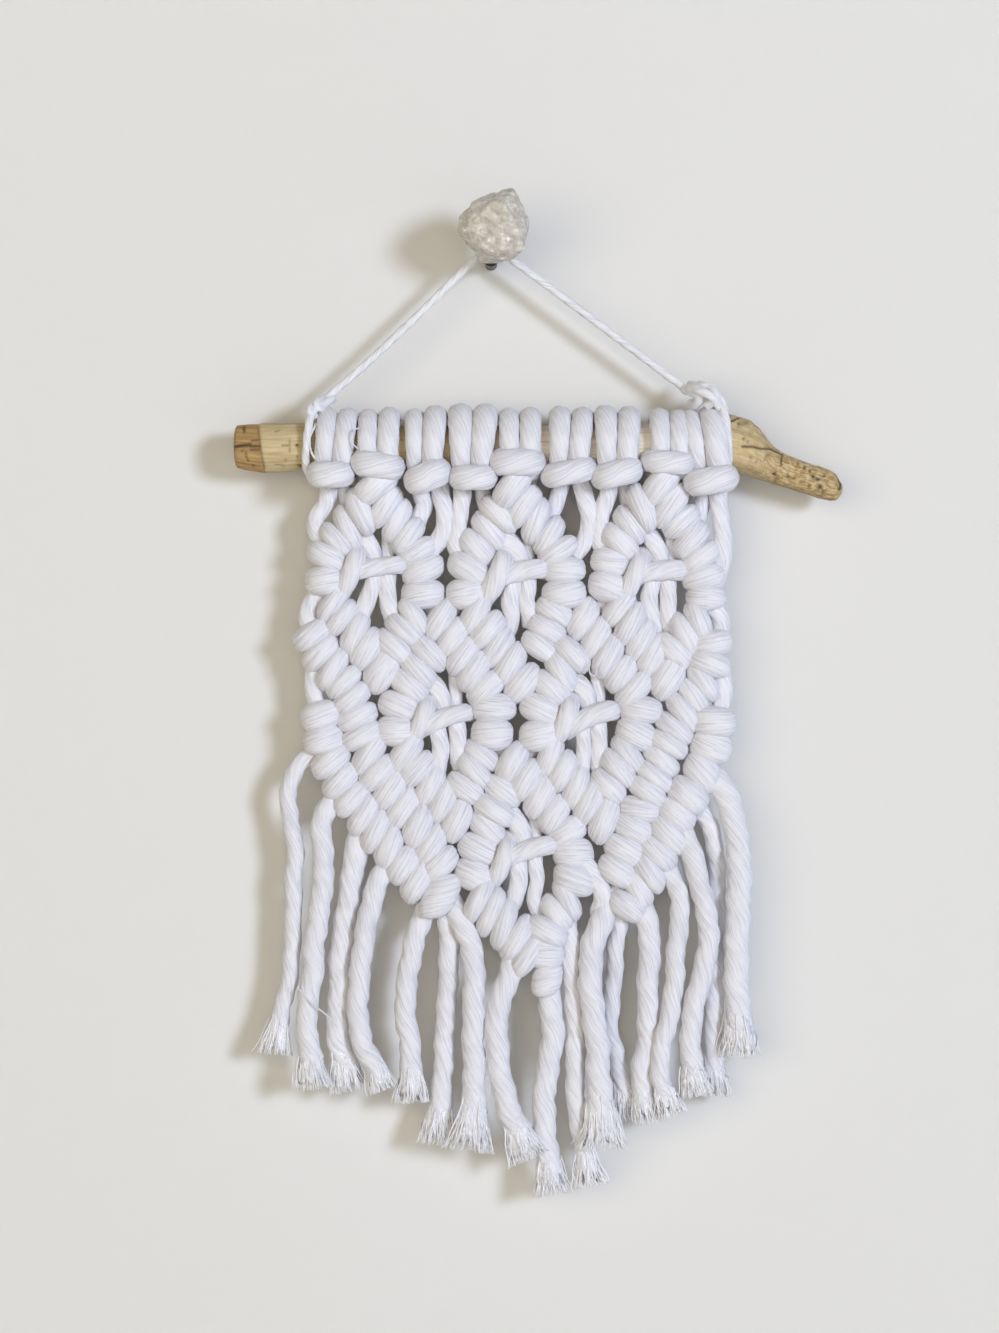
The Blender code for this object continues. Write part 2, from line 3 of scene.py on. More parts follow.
import bpy
import numpy as np
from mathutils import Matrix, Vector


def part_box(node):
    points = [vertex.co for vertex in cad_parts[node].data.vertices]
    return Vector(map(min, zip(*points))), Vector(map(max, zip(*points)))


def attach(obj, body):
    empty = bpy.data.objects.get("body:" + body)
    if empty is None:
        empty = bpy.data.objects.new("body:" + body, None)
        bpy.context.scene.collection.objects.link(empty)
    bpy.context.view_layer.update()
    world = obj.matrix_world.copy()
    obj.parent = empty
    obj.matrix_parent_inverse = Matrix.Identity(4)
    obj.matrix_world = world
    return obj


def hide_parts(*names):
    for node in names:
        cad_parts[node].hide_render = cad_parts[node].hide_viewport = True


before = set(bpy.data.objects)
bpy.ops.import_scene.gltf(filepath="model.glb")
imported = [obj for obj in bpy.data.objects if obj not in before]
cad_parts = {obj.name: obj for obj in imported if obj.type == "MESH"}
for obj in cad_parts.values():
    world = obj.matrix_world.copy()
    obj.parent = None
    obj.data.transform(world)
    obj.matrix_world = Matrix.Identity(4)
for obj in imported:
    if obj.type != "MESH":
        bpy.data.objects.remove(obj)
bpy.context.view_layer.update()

scene = bpy.context.scene

# The view. The photograph looks straight at the wall on which the hanging hangs. Places on the cloth are
# charted in pixels of that photograph, 999 by 1333, and each pixel is 0.4 mm of the real thing.
PIXEL = 0.0004
PHOTO_WIDTH, PHOTO_HEIGHT = 999, 1333
ORIGIN_ACROSS, ORIGIN_DOWN = 491.0, 259.5  # the stem's end on the wall, which is the frame's origin
MM = 0.001
CAMERA_DISTANCE = 1.6
SENSOR = 36.0  # millimetres, along the picture's long side

branch_low, branch_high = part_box("driftwood_branch")
BRANCH_Y = (branch_low.y + branch_high.y) / 2
CLOTH_Y = BRANCH_Y - 1.5 * MM


def charted(points, y=CLOTH_Y):
    """Pixels of the chart, (n, 2), as places in metres at the depth y, which may be one for each point."""
    points = np.asarray(points, float).reshape(-1, 2)
    x = (points[:, 0] - ORIGIN_ACROSS) * PIXEL
    z = (ORIGIN_DOWN - points[:, 1]) * PIXEL
    return np.column_stack([x, np.broadcast_to(y, len(x)), z])


camera = bpy.data.objects.new("camera", bpy.data.cameras.new("camera"))
scene.collection.objects.link(camera)
scene.camera = camera
camera.location = charted([(PHOTO_WIDTH / 2, PHOTO_HEIGHT / 2)], CLOTH_Y - CAMERA_DISTANCE)[0]
camera.rotation_euler = (math.pi / 2, 0, 0)
camera.data.sensor_width = SENSOR
camera.data.lens = SENSOR * CAMERA_DISTANCE / (PHOTO_HEIGHT * PIXEL)

# The hanging cord: a thin cotton cord, tied to the branch at both ends, which the stem holds taut in its
# middle. It is twisted from three yarns, and it bends over the stem close under the knob.
HANGER_DIAMETER = 0.0032
HANGER_TURN = 300.0  # radians of twist a metre
HANGER_PLIES, HANGER_PLY_DEPTH = 3, 0.00012
HANGER_ROUTE = (  # across and up, in metres, as in the solid
    (-0.0704, -0.0591), (-0.0648, -0.0544), (-0.0500, -0.0416), (-0.0360, -0.0286), (-0.0220, -0.0150),
    (-0.0120, -0.0052), (-0.0039, 0.0026), (-0.0013, 0.0042), (0.0017, 0.0044), (0.0044, 0.0032),
    (0.0120, -0.0025), (0.0280, -0.0144), (0.0450, -0.0271), (0.0620, -0.0398), (0.0796, -0.0530),
)


def unit(vectors):
    """Each vector at length 1."""
    return vectors / np.linalg.norm(vectors, axis=-1, keepdims=True)


def lengths_along(line):
    """How far along the line each of its points lies."""
    return np.concatenate([[0.0], np.cumsum(np.linalg.norm(np.diff(line, axis=0), axis=1))])


def read_at(places, run, rows):
    """The rows, (n, k), which belong to the lengths in run, read at other places between them."""
    return np.column_stack([np.interp(places, run, column) for column in rows.T])


def smooth_line(points, step):
    """A smooth line through the points, (n, 3): a Catmull-Rom spline, read at even steps of its length."""
    points = np.asarray(points, float)
    before, after = 2 * points[0] - points[1], 2 * points[-1] - points[-2]
    padded = np.vstack([before, points, after])
    at = np.linspace(0, len(points) - 1, 30 * len(points))
    i = np.minimum(at.astype(int), len(points) - 2)
    t = (at - i)[:, None]
    a, b, c, d = (padded[i + k] for k in range(4))
    fine = 2 * b + (c - a) * t + (2 * a - 5 * b + 4 * c - d) * t**2 + (3 * b - a - 3 * c + d) * t**3
    fine /= 2
    run = lengths_along(fine)
    return read_at(np.linspace(0, run[-1], max(round(run[-1] / step), 3) + 1), run, fine)


def angles_round(columns):
    """The angles of a skin's columns, from -180 to 180 degrees, as a row."""
    return np.linspace(-math.pi, math.pi, columns + 1)[None, :]


def strand_skin(line, radius, columns, twist, out=(0, -1, 0), flat=1.0, ridges=()):
    """A strand's skin. Its point at angle a round the line is line + reach (sin a across + flat cos a out),
    with a from -180 to 180 degrees and 0 facing out. The reach is the radius plus, for each ridge
    (count, depth, phase), depth cos(count (a + twist s) + phase), where s is the length along the line and
    depth is one number or one for each point of it.
    Returns the points, and for each the lengths along and round the strand that follow its fibres."""
    line = np.asarray(line, float)
    tangent = unit(np.gradient(line, axis=0))
    out = np.broadcast_to(np.asarray(out, float), line.shape)
    out = unit(out - (out * tangent).sum(1, keepdims=True) * tangent)
    across = np.cross(tangent, out)
    s = lengths_along(line)[:, None]
    a = angles_round(columns)
    spiral = a + twist * s
    radius = np.broadcast_to(np.asarray(radius, float), len(line))[:, None]
    reach = radius + 0 * a
    for count, depth, phase in ridges:
        depth = np.broadcast_to(np.asarray(depth, float), len(line))[:, None]
        reach = reach + depth * np.cos(count * spiral + phase)
    sideways = (reach * np.sin(a))[..., None] * across[:, None]
    outwards = (flat * reach * np.cos(a))[..., None] * out[:, None]
    skin = line[:, None] + sideways + outwards
    fibres = np.stack([s + 0 * a, radius.mean() * spiral], -1)
    return skin[:, :-1], fibres


def add_piece(name, skins, material, slot, *nodes):
    """One mesh of closed skins, each a grid of points (rows, columns, 3) with its fibre lengths. Faces of
    four corners join each row to the next, and a fan to the middle of its first and last row closes it.
    The piece rides on the wall's body and stands for the named nodes."""
    places, indices, sizes, lengths = [], [], [], []
    first = 0
    for skin, fibres in skins:
        rows, columns = skin.shape[:2]
        here = first + np.arange(rows * columns).reshape(rows, columns)
        beside = np.roll(here, -1, axis=1)
        quads = np.stack([here[:-1], beside[:-1], beside[1:], here[1:]], -1)
        first += rows * columns + 2
        start_fan = np.stack([np.full(columns, first - 2), beside[0], here[0]], -1)
        end_fan = np.stack([np.full(columns, first - 1), here[-1], beside[-1]], -1)
        places += [skin.reshape(-1, 3), skin[[0, -1]].mean(1)]
        indices += [quads.ravel(), start_fan.ravel(), end_fan.ravel()]
        sizes += [np.full((rows - 1) * columns, 4), np.full(2 * columns, 3)]
        left, right = fibres[:, :-1], fibres[:, 1:]
        quad_lengths = np.stack([left[:-1], right[:-1], right[1:], left[1:]], 2)
        start_lengths = np.stack([left[0], right[0], left[0]], 1)
        end_lengths = np.stack([left[-1], left[-1], right[-1]], 1)
        lengths += [part.reshape(-1, 2) for part in (quad_lengths, start_lengths, end_lengths)]
    places, indices, sizes = np.concatenate(places), np.concatenate(indices), np.concatenate(sizes)
    mesh = bpy.data.meshes.new(name)
    mesh.vertices.add(len(places))
    mesh.vertices.foreach_set("co", places.ravel())
    mesh.loops.add(len(indices))
    mesh.loops.foreach_set("vertex_index", indices)
    mesh.polygons.add(len(sizes))
    mesh.polygons.foreach_set("loop_start", np.cumsum(sizes) - sizes)
    mesh.update(calc_edges=True)
    mesh.uv_layers.new(name="fibres").data.foreach_set("uv", np.concatenate(lengths).ravel())
    mesh.shade_smooth()
    mesh.materials.append(material)
    piece = bpy.data.objects.new(name, mesh)
    scene.collection.objects.link(piece)
    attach(piece, "root")
    if nodes:
        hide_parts(*nodes)
    return piece


def fill(node, places=(), **values):
    """The node, with its settings, or its inputs by name, set from the values, and its inputs by number from
    the places. What is another node's output is linked in."""
    filled = dict(places)
    for name, value in values.items():
        if name in node.bl_rna.properties:
            setattr(node, name, value)
        else:
            filled[name.replace("_", " ")] = value
    for key, value in filled.items():
        if isinstance(value, bpy.types.NodeSocket):
            node.id_data.links.new(value, node.inputs[key])
        else:
            node.inputs[key].default_value = value
    return node


def new_node(owner, kind, places=(), **values):
    """A new shader node of a material or a world, filled in."""
    return fill(owner.node_tree.nodes.new(kind), places, **values)


def new_material(name, **values):
    """A node material, and its Principled shader, whose inputs are set by name."""
    material = bpy.data.materials.new(name)
    material.use_nodes = True
    return material, fill(material.node_tree.nodes["Principled BSDF"], **values)


def streaks(material, along, across, detail):
    """Noise that is drawn out along the fibres: its grain is 1/along by 1/across, in metres."""
    uv = new_node(material, "ShaderNodeUVMap", uv_map="fibres").outputs["UV"]
    place = new_node(material, "ShaderNodeMapping", Vector=uv, Scale=(along, across, 1.0)).outputs["Vector"]
    noise = new_node(material, "ShaderNodeTexNoise", Vector=place, Scale=1.0, Detail=detail, Roughness=0.6)
    return noise.outputs["Fac"]


def colour_ramp(material, source, *stops):
    """The colours, each at its place from 0 to 1, blended by the source."""
    ramp = new_node(material, "ShaderNodeValToRGB", Fac=source)
    while len(ramp.color_ramp.elements) < len(stops):
        ramp.color_ramp.elements.new(0.5)
    for element, (place, colour) in zip(ramp.color_ramp.elements, stops, strict=True):
        element.position = place
        element.color = (*colour, 1.0)
    return ramp.outputs["Color"]


def bumps(material, height, strength, depth):
    """A surface's bumps, which rise by the depth, in metres, as the height goes from 0 to 1."""
    bump = new_node(material, "ShaderNodeBump", Height=height, Strength=strength, Distance=depth)
    return bump.outputs["Normal"]


def cotton(name, colour, hollow_shade, yarn, depth):
    """Combed cotton: yarns of the given width, parted by hollows that get a darker, bluer colour as painted
    shade, and fine fibres along them.
    """
    material, shader = new_material(name, Roughness=0.95, Sheen_Weight=0.25, Sheen_Roughness=0.5)
    yarns = streaks(material, along=40.0, across=1.0 / yarn, detail=2.0)
    fibres = streaks(material, along=160.0, across=4.2 / yarn, detail=3.0)
    both = new_node(material, "ShaderNodeMix", Factor=0.45, A=yarns, B=fibres).outputs["Result"]
    # The hollow colour, where the bumps are lowest, is painted shade between the yarns.
    tint = colour_ramp(material, both, (0.40, hollow_shade), (0.51, colour))
    fill(shader, Base_Color=tint, Normal=bumps(material, both, strength=0.9, depth=depth))
    return material


thin_cotton = cotton("thin_cotton", (0.78, 0.78, 0.81), (0.58, 0.58, 0.62), 0.0007, 0.0002)
hanger_line = smooth_line([(x, BRANCH_Y, z) for x, z in HANGER_ROUTE], step=0.0006)
plies = [(HANGER_PLIES, HANGER_PLY_DEPTH, 0.0)]
hanger_skin = strand_skin(hanger_line, HANGER_DIAMETER / 2, 18, HANGER_TURN, ridges=plies)
hanger = add_piece("hanging_cord", [hanger_skin], thin_cotton, "hanger_cotton", "hanger_cord")

# The hook: a dark metal stem with a collar, turned in one piece and fixed in the wall. A rough clear
# quartz, broken and not cut, is glued to its front and keeps the cord from slipping off.
STEM_LENGTH = 0.0245
STEM_PLACES = (  # how far before the wall, and the radius there, in millimetres
    (0.0, 2.3), (0.3, 2.5), (21.9, 2.5), (22.1, 2.9), (22.4, 3.1), (24.1, 3.1), (24.4, 2.9), (24.5, 2.5),
)
DARK_METAL = (0.035, 0.032, 0.030, 1.0)
dark_metal, _ = new_material("dark_metal", Base_Color=DARK_METAL, Metallic=0.9, Roughness=0.42)
stem_line = [(0, -before * MM, 0) for before, _ in STEM_PLACES]
stem_radii = [radius * MM for _, radius in STEM_PLACES]
stem_skin = strand_skin(stem_line, stem_radii, 40, twist=0.0, out=(0, 0, 1))
add_piece("hook_stem_turned", [stem_skin], dark_metal, "dark_metal", "hook_stem")

QUARTZ_OUTLINE = (  # across and down in pixels, clockwise from the left
    (458, 231), (464, 219), (472, 213), (476, 204), (487, 198), (500, 199), (503, 196), (509, 195),
    (518, 194), (522, 200), (525, 208), (526, 216), (530, 221), (529, 237), (528, 244), (526, 248),
    (528, 252), (527, 259), (520, 258), (516, 262), (500, 262), (488, 260), (475, 253), (465, 246),
    (461, 239),
)
QUARTZ_MIDDLE = (493.5, 229.5)
QUARTZ_WIDEST = 0.54  # of its depth, from the back
QUARTZ_DEPTH, QUARTZ_RADIUS = 0.030, 0.014  # roughly, for the lengths along its skin
QUARTZ_ROWS, QUARTZ_COLUMNS = 84, 130
QUARTZ_BREAKS = 64
BREAK_FACING = 0.75, 1.3, 0.75  # the breaks face more to the front and the back than sideways
BREAK_LEAST, BREAK_MOST = 0.87, 0.97  # a break's distance from the middle, as a share of the furthest point
QUARTZ_GRAIN = (0.012, 0.0042, 1), (0.014, 0.0018, 2), (0.010, 0.0008, 3)  # height as a share, size, seed
SEAT_FULL, SEAT_GONE = 0.18, 0.55  # how far from the seat's middle, in radians, it is flat and ends
SEAT_PROUD = 0.25 * MM  # how far it comes out of the box, towards the stem
TINY = 1e-9  # keeps a division from zero
quartz_low, quartz_high = (np.array(corner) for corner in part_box("quartz_knob"))


def eased(t):
    """From 0 to 1 with level ends: t^2 (3 - 2t)."""
    return t * t * (3 - 2 * t)


def value_noise(places, size, seed):
    """Smooth noise from -1 to 1 at places (..., 3): random values at the corners of cubes of the given
    size, blended across each cube."""
    table = np.random.default_rng(seed).uniform(-1, 1, 4096)
    cell = np.floor(places / size).astype(int)
    t = eased(places / size - cell)
    total = 0.0
    for corner in np.ndindex(2, 2, 2):
        at = cell + corner
        key = (at[..., 0] * 73856093 ^ at[..., 1] * 19349663 ^ at[..., 2] * 83492791) % len(table)
        total = total + table[key] * np.prod(np.where(corner, t, 1 - t), axis=-1)
    return total


def layered_noise(places, layers):
    """Value noises on top of one another, each with its height, size and seed."""
    return sum(height * value_noise(places, size, seed) for height, size, seed in layers)


def rough_quartz_skin():
    """The stone's skin. Seen from the front its outline is the charted one. From back to front, at the
    depth share v, it reaches out to (1 - |(v - w) / h|^2.6)^(1/2.2) of it, w being where it is widest and h
    the share on that side of w. Flat breaks then cut it: a point beyond a break's plane is moved back along
    its line to the middle. Small shells and pits roughen it, and the whole is sized to fill its box. Round
    the stem's end it reaches a little past the box, where it has a flat seat."""
    outline = np.array(QUARTZ_OUTLINE) - QUARTZ_MIDDLE
    bearing = np.arctan2(-outline[:, 1], outline[:, 0])
    order = np.argsort(bearing)
    reach = np.linalg.norm(outline, axis=1) * PIXEL
    a = angles_round(QUARTZ_COLUMNS)
    side = np.interp(a, bearing[order], reach[order], period=2 * math.pi)
    v = (1 - np.cos(np.linspace(0.03, 0.97, QUARTZ_ROWS) * math.pi))[:, None] / 2
    slope = np.where(v < QUARTZ_WIDEST, QUARTZ_WIDEST, 1 - QUARTZ_WIDEST)
    share = (1 - np.abs((v - QUARTZ_WIDEST) / slope) ** 2.6) ** (1 / 2.2)
    middle, half = (quartz_low + quartz_high) / 2, (quartz_high - quartz_low) / 2
    y = (1 - 2 * v) * half[1] + 0 * a
    skin = np.stack([share * side * np.cos(a), y, share * side * np.sin(a)], -1)
    breaks = np.random.default_rng(5)
    for _ in range(QUARTZ_BREAKS):
        beyond = skin @ unit(breaks.normal(size=3) * BREAK_FACING)
        keep = beyond.max() * breaks.uniform(BREAK_LEAST, BREAK_MOST) / np.maximum(beyond, TINY)
        skin = skin * np.minimum(keep, 1)[..., None]
    skin = skin * (1 + layered_noise(skin, QUARTZ_GRAIN))[..., None]
    low, high = skin.min((0, 1)), skin.max((0, 1))
    skin = (2 * (skin - low) / (high - low) - 1) * half
    towards = unit(skin)
    seat = unit(np.array((0.0, -STEM_LENGTH, 0.5 * MM)) - middle)
    away = np.arccos(np.clip(towards @ seat, -1, 1))
    seated = eased(np.clip((SEAT_GONE - away) / (SEAT_GONE - SEAT_FULL), 0, 1))[..., None]
    box = half + (0, SEAT_PROUD, 0)
    boxed = towards * np.min(box / np.maximum(np.abs(towards), TINY), axis=-1, keepdims=True)
    skin = middle + skin + (boxed - skin) * seated
    fibres = np.stack([v * QUARTZ_DEPTH + 0 * a, a * QUARTZ_RADIUS + 0 * v], -1)
    return skin[:, :-1], fibres


def quartz():
    """Rough quartz: milky, clouded and cracked inside, with a broken surface, half clear. Its brightest
    clouds turn near-white, as painted glints.
    """
    material, shader = new_material("rough_quartz", Roughness=0.26, IOR=1.54, Transmission_Weight=0.25)
    place = new_node(material, "ShaderNodeTexCoord").outputs["Object"]
    clouds = new_node(material, "ShaderNodeTexNoise", Vector=place, Scale=300.0, Detail=6.0, Roughness=0.66)
    # The milky clouds go from brown to cream; the last, near-white stop is painted glints.
    milk_and_glints = (
        (0.35, (0.48, 0.44, 0.37)),
        (0.48, (0.60, 0.56, 0.48)),
        (0.60, (0.74, 0.70, 0.63)),
        (0.68, (0.98, 0.98, 0.97)),
    )
    tint = colour_ramp(material, clouds.outputs["Fac"], *milk_and_glints)
    shells = new_node(material, "ShaderNodeTexVoronoi", Vector=place, Scale=330.0).outputs["Distance"]
    fill(shader, Base_Color=tint, Normal=bumps(material, shells, strength=0.55, depth=0.0008))
    return material


stone = add_piece("quartz_knob_rough", [rough_quartz_skin()], quartz(), "rough_quartz", "quartz_knob")
stone.data.shade_flat()

# The branch: a length of driftwood, straw-coloured and worn smooth. Its left end is peeled and split,
# and its right end swells where a twig left it, bends down and is pitted by worms.
BRANCH_PLACES = (  # across, and its upper and lower edge there as seen from the front, in pixels
    (236, 425, 467), (247, 424, 470), (258, 424, 471.5), (262, 422.5, 472), (280, 423, 471.5),
    (302, 422.5, 470), (330, 425, 468), (390, 426, 469), (491, 425, 468), (590, 425, 469), (680, 424, 469),
    (715, 418, 470), (730, 414, 471), (739, 416.5, 473), (750, 420, 476), (759, 427, 479), (766, 436, 481),
    (773, 445.5, 483.5), (781, 451.5, 486), (792, 456.5, 489.5), (805, 461.5, 493.5), (818, 466, 497.5),
    (829, 470, 500), (837, 474.5, 500), (841, 479, 498),
)
BRANCH_LEFT, BRANCH_RIGHT = 233.5, 843.0
BARE_LEFT, BARE_RIGHT = 304, 722  # where the two bare ends stop and start
CLOSE, WIDE = 0.9, 4.0  # the stations' distances, on those ends and under the cords
ROUND_LEFT, ROUND_RIGHT = 4.0, 9.0  # how much of each end is rounded off, in pixels
SCARS = (  # cracks and worn edges: millimetres deep, pixels wide, and their way in pixels
    (1.3, 1.5, ((235, 448), (243, 446.5), (251, 445.5))),
    (0.4, 1.3, ((253, 441), (260.5, 440.5))),
    (0.6, 1.6, ((252, 447), (261, 447))),
    (0.5, 1.3, ((252, 451), (261.5, 451))),
    (0.25, 1.3, ((259, 428), (261, 440), (263, 455), (265, 469))),
    (0.5, 1.4, ((244, 426), (245, 432))),
    (0.4, 1.2, ((247, 453), (247, 458), (249, 462))),
    (0.4, 1.0, ((283, 446.5), (289, 446.5))),
    (0.3, 0.9, ((290.5, 440), (290.5, 453))),
    (0.3, 1.0, ((276, 432), (280, 431))),
    (0.3, 0.9, ((276, 466), (280, 466), (284, 467))),
    (0.9, 1.1, ((725, 423), (731, 421.5), (738, 418))),
    (0.3, 2.6, ((741, 425), (745, 424))),
    (0.25, 1.2, ((763, 461), (765, 457), (769, 455))),
    (1.0, 1.1, ((741, 448), (750, 448), (760, 449.5), (768, 449), (775, 451), (782, 454))),
    (0.6, 0.9, ((782, 454), (780.5, 460), (780, 466))),
    (0.8, 1.4, ((838, 477), (840, 484), (839, 490))),
)
PITS = (  # across, down and wide in pixels, and deep in millimetres
    (243, 452, 1.6, 0.4), (254, 467, 1.4, 0.4), (286, 461, 1.2, 0.3), (298, 446, 1.6, 0.6),
    (298, 458, 1.2, 0.3), (301, 467, 1.8, 0.5), (738, 425, 2.2, 0.5), (728, 416, 1.6, 0.5),
    (742, 440, 1.3, 0.5), (746, 443, 1.2, 0.4), (749, 459, 1.6, 0.4), (755, 463, 1.6, 0.3),
    (757, 426, 1.6, 0.4), (773, 475, 1.8, 0.7), (775, 480, 3.4, 0.4), (787, 477, 1.6, 0.6),
    (793, 479, 1.6, 0.5), (797, 464, 1.5, 0.4), (804, 468, 1.6, 0.5), (809, 471, 1.8, 0.6),
    (812, 477, 1.9, 0.7), (800, 474, 1.4, 0.4), (817, 480, 2.2, 0.7), (800, 482, 1.5, 0.4),
    (819, 488, 2.2, 0.7), (823, 476, 1.5, 0.5), (808, 486, 1.4, 0.4), (822, 493, 2.4, 0.4),
)
# Painted shade: each crack and pit is darkened by its depth, and the right end's underside is darkened too.
SCAR_DARK, PIT_DARK = 1.5, 1.6  # how much darker each gets for a millimetre of its depth
UNDERSIDE_FROM, UNDERSIDE_DARK = 720, 0.5  # the right end's underside is dark too
PIT_EDGE = 0.5, 0.0009, 8  # a pit's uneven edge: its height as a share, size and seed
WOOD_GRAIN = (0.00030, 0.004, 4), (0.00016, 0.0013, 5), (0.00008, 0.0006, 6)  # in metres, and the seed
GRAIN_ALONG = 0.22, 1.0, 1.0  # the grain is drawn out along the branch
WOOD_COLUMNS = 116
PEEL_END, PEEL_SLANT = -0.1028, 0.15  # where the peeled end stops, in metres across, and how far it slants
STAIN = 0.092, 0.118  # where the stain at the right starts and is full
PALER_AND_LIT = -0.103, 0.142  # the stretch on which the paler part is placed: partly the wood's own tone, partly painted light


def driftwood_skin():
    """The branch's skin and how much painted shade each point gets. The stations are close at the two bare
    ends.
    At angle a a point lies above the middle of the two edges by half their distance times sin a, and before
    it by as much times cos a. A scar or a pit takes depth e^(-(d / width)^2) off, d being how far it is away
    as seen from the front, and is darkened in step with its depth: painted shade, as is the right end's
    underside."""
    across = np.concatenate([
        np.arange(BRANCH_LEFT, BARE_LEFT, CLOSE),
        np.arange(BARE_LEFT + 1, BARE_RIGHT, WIDE),
        np.arange(BARE_RIGHT, BRANCH_RIGHT, CLOSE),
    ])
    places = np.array(BRANCH_PLACES)
    top, bottom = read_at(across, places[:, 0], places[:, 1:]).T
    edge = np.minimum((across - BRANCH_LEFT) / ROUND_LEFT, (BRANCH_RIGHT - across) / ROUND_RIGHT) + 0.02
    rounded = np.where(edge < 1, np.sqrt(1 - (1 - np.minimum(edge, 1)) ** 2), 1)[:, None]
    a = angles_round(WOOD_COLUMNS)
    half = ((bottom - top) / 2)[:, None] * PIXEL
    middle = charted(np.column_stack([across, (top + bottom) / 2]), BRANCH_Y)
    reach = half * rounded * (1 + 0 * a)
    axes = np.stack([0 * reach, -np.cos(a) + 0 * half, np.sin(a) + 0 * half], -1)
    skin = middle[:, None] + reach[..., None] * axes
    seen = np.stack([skin[..., 0] / PIXEL + ORIGIN_ACROSS, ORIGIN_DOWN - skin[..., 2] / PIXEL], -1)
    facing = np.clip(np.cos(a) * 3 + 0.6, 0, 1)
    marks = []
    for depth, width, points in SCARS:
        route = smooth_line([(x, z, 0) for x, z in points], step=0.5)[:, :2]
        away = np.min(np.linalg.norm(seen[:, :, None] - route, axis=-1), axis=-1)
        marks.append((depth, away / width, SCAR_DARK))
    uneven = 1 + layered_noise(skin, [PIT_EDGE])
    for pit_across, pit_down, size, depth in PITS:
        away = np.linalg.norm(seen - (pit_across, pit_down), axis=-1) * uneven
        marks.append((depth, away / size, PIT_DARK))
    dent = 0 * reach
    # Painted shade, first on the right end's underside, then in each crack and pit by its depth.
    painted_shade = UNDERSIDE_DARK * np.clip(-np.sin(a) - 0.62, 0, 1) * (across > UNDERSIDE_FROM)[:, None]
    for depth, away, darkness in marks:
        mark = np.exp(-(away**2)) * facing
        dent = np.maximum(dent, depth * mark)
        painted_shade = np.maximum(painted_shade, mark * min(1, depth * darkness))
    grain = layered_noise(skin * GRAIN_ALONG, WOOD_GRAIN)
    skin = skin + (grain - dent * MM)[..., None] * axes
    fibres = np.stack([middle[:, :1] * (1 + 0 * a), a * 0.009 + 0 * half], -1)
    return skin[:, :-1], fibres, painted_shade[:, :-1]


def maths(material, operation, *terms):
    """What the operation makes of the terms, which are numbers or other nodes' outputs."""
    return new_node(material, "ShaderNodeMath", enumerate(terms), operation=operation).outputs["Value"]


def rising(material, source, low, high):
    """0 where the source is at or below low, 1 where it is at or above high, and even between them."""
    reach = new_node(material, "ShaderNodeMapRange", Value=source, From_Min=low, From_Max=high)
    return reach.outputs["Result"]


def blend(material, share, one, other):
    """One colour, with the other in its place as far as the share says."""
    return new_node(material, "ShaderNodeMix", {0: share, 6: one, 7: other}, data_type="RGBA").outputs[2]


def driftwood():
    """Straw-coloured wood with a fine grain along it, paler under the cords right of its middle, partly its
    own tone and partly painted light that lifts the shade between the loops, with painted shade in its
    cracks, pits and the right end's underside, and darker on its peeled left end."""
    material, shader = new_material("driftwood", Roughness=0.78)
    grain = streaks(material, along=55.0, across=900.0, detail=4.0)
    blotches = streaks(material, along=430.0, across=560.0, detail=4.0)
    stops = (0.30, (0.40, 0.29, 0.14)), (0.55, (0.55, 0.44, 0.25)), (0.75, (0.64, 0.53, 0.34))
    straw = colour_ramp(material, grain, *stops)
    brown = colour_ramp(material, grain, (0.30, (0.25, 0.14, 0.05)), (0.70, (0.50, 0.34, 0.14)))
    pale = colour_ramp(material, grain, (0.30, (0.66, 0.55, 0.43)), (0.60, (0.88, 0.80, 0.69)))
    place = new_node(material, "ShaderNodeTexCoord").outputs["Object"]
    parts = new_node(material, "ShaderNodeSeparateXYZ", Vector=place).outputs
    slanted = maths(material, "MULTIPLY_ADD", parts["Z"], PEEL_SLANT, parts["X"])
    peeled = maths(material, "LESS_THAN", slanted, PEEL_END)
    stained = rising(material, parts["X"], *STAIN)
    speckled = maths(material, "MULTIPLY", stained, rising(material, blotches, 0.44, 0.55))
    none, full = (0.0, 0.0, 0.0), (1.0, 1.0, 1.0)
    stops = (0.32, none), (0.55, full), (0.76, full), (0.80, none)
    # Paler under the cords: partly the wood's own tone, partly painted light lifting the shade between the
    # loops.
    paler_and_lit = colour_ramp(material, rising(material, parts["X"], *PALER_AND_LIT), *stops)
    skin = blend(material, paler_and_lit, straw, pale)
    skin = blend(material, maths(material, "MAXIMUM", peeled, speckled), skin, brown)
    # Painted shade in the cracks, the pits and the right end's underside, blended in as near-black.
    painted_shade = new_node(material, "ShaderNodeAttribute", attribute_name="painted_shade").outputs["Fac"]
    skin = blend(material, painted_shade, skin, (0.045, 0.025, 0.010, 1.0))
    fill(shader, Base_Color=skin, Normal=bumps(material, grain, strength=0.35, depth=0.0003))
    return material


wood_skin, wood_fibres, wood_painted_shade = driftwood_skin()
branch = add_piece("driftwood", [(wood_skin, wood_fibres)], driftwood(), "driftwood", "driftwood_branch")
# Each point's painted shade, and none at the two closing middles of the skin.
painted_shade = np.concatenate([wood_painted_shade.ravel(), [0.0, 0.0]])
branch.data.attributes.new("painted_shade", "FLOAT", "POINT").data.foreach_set("value", painted_shade)

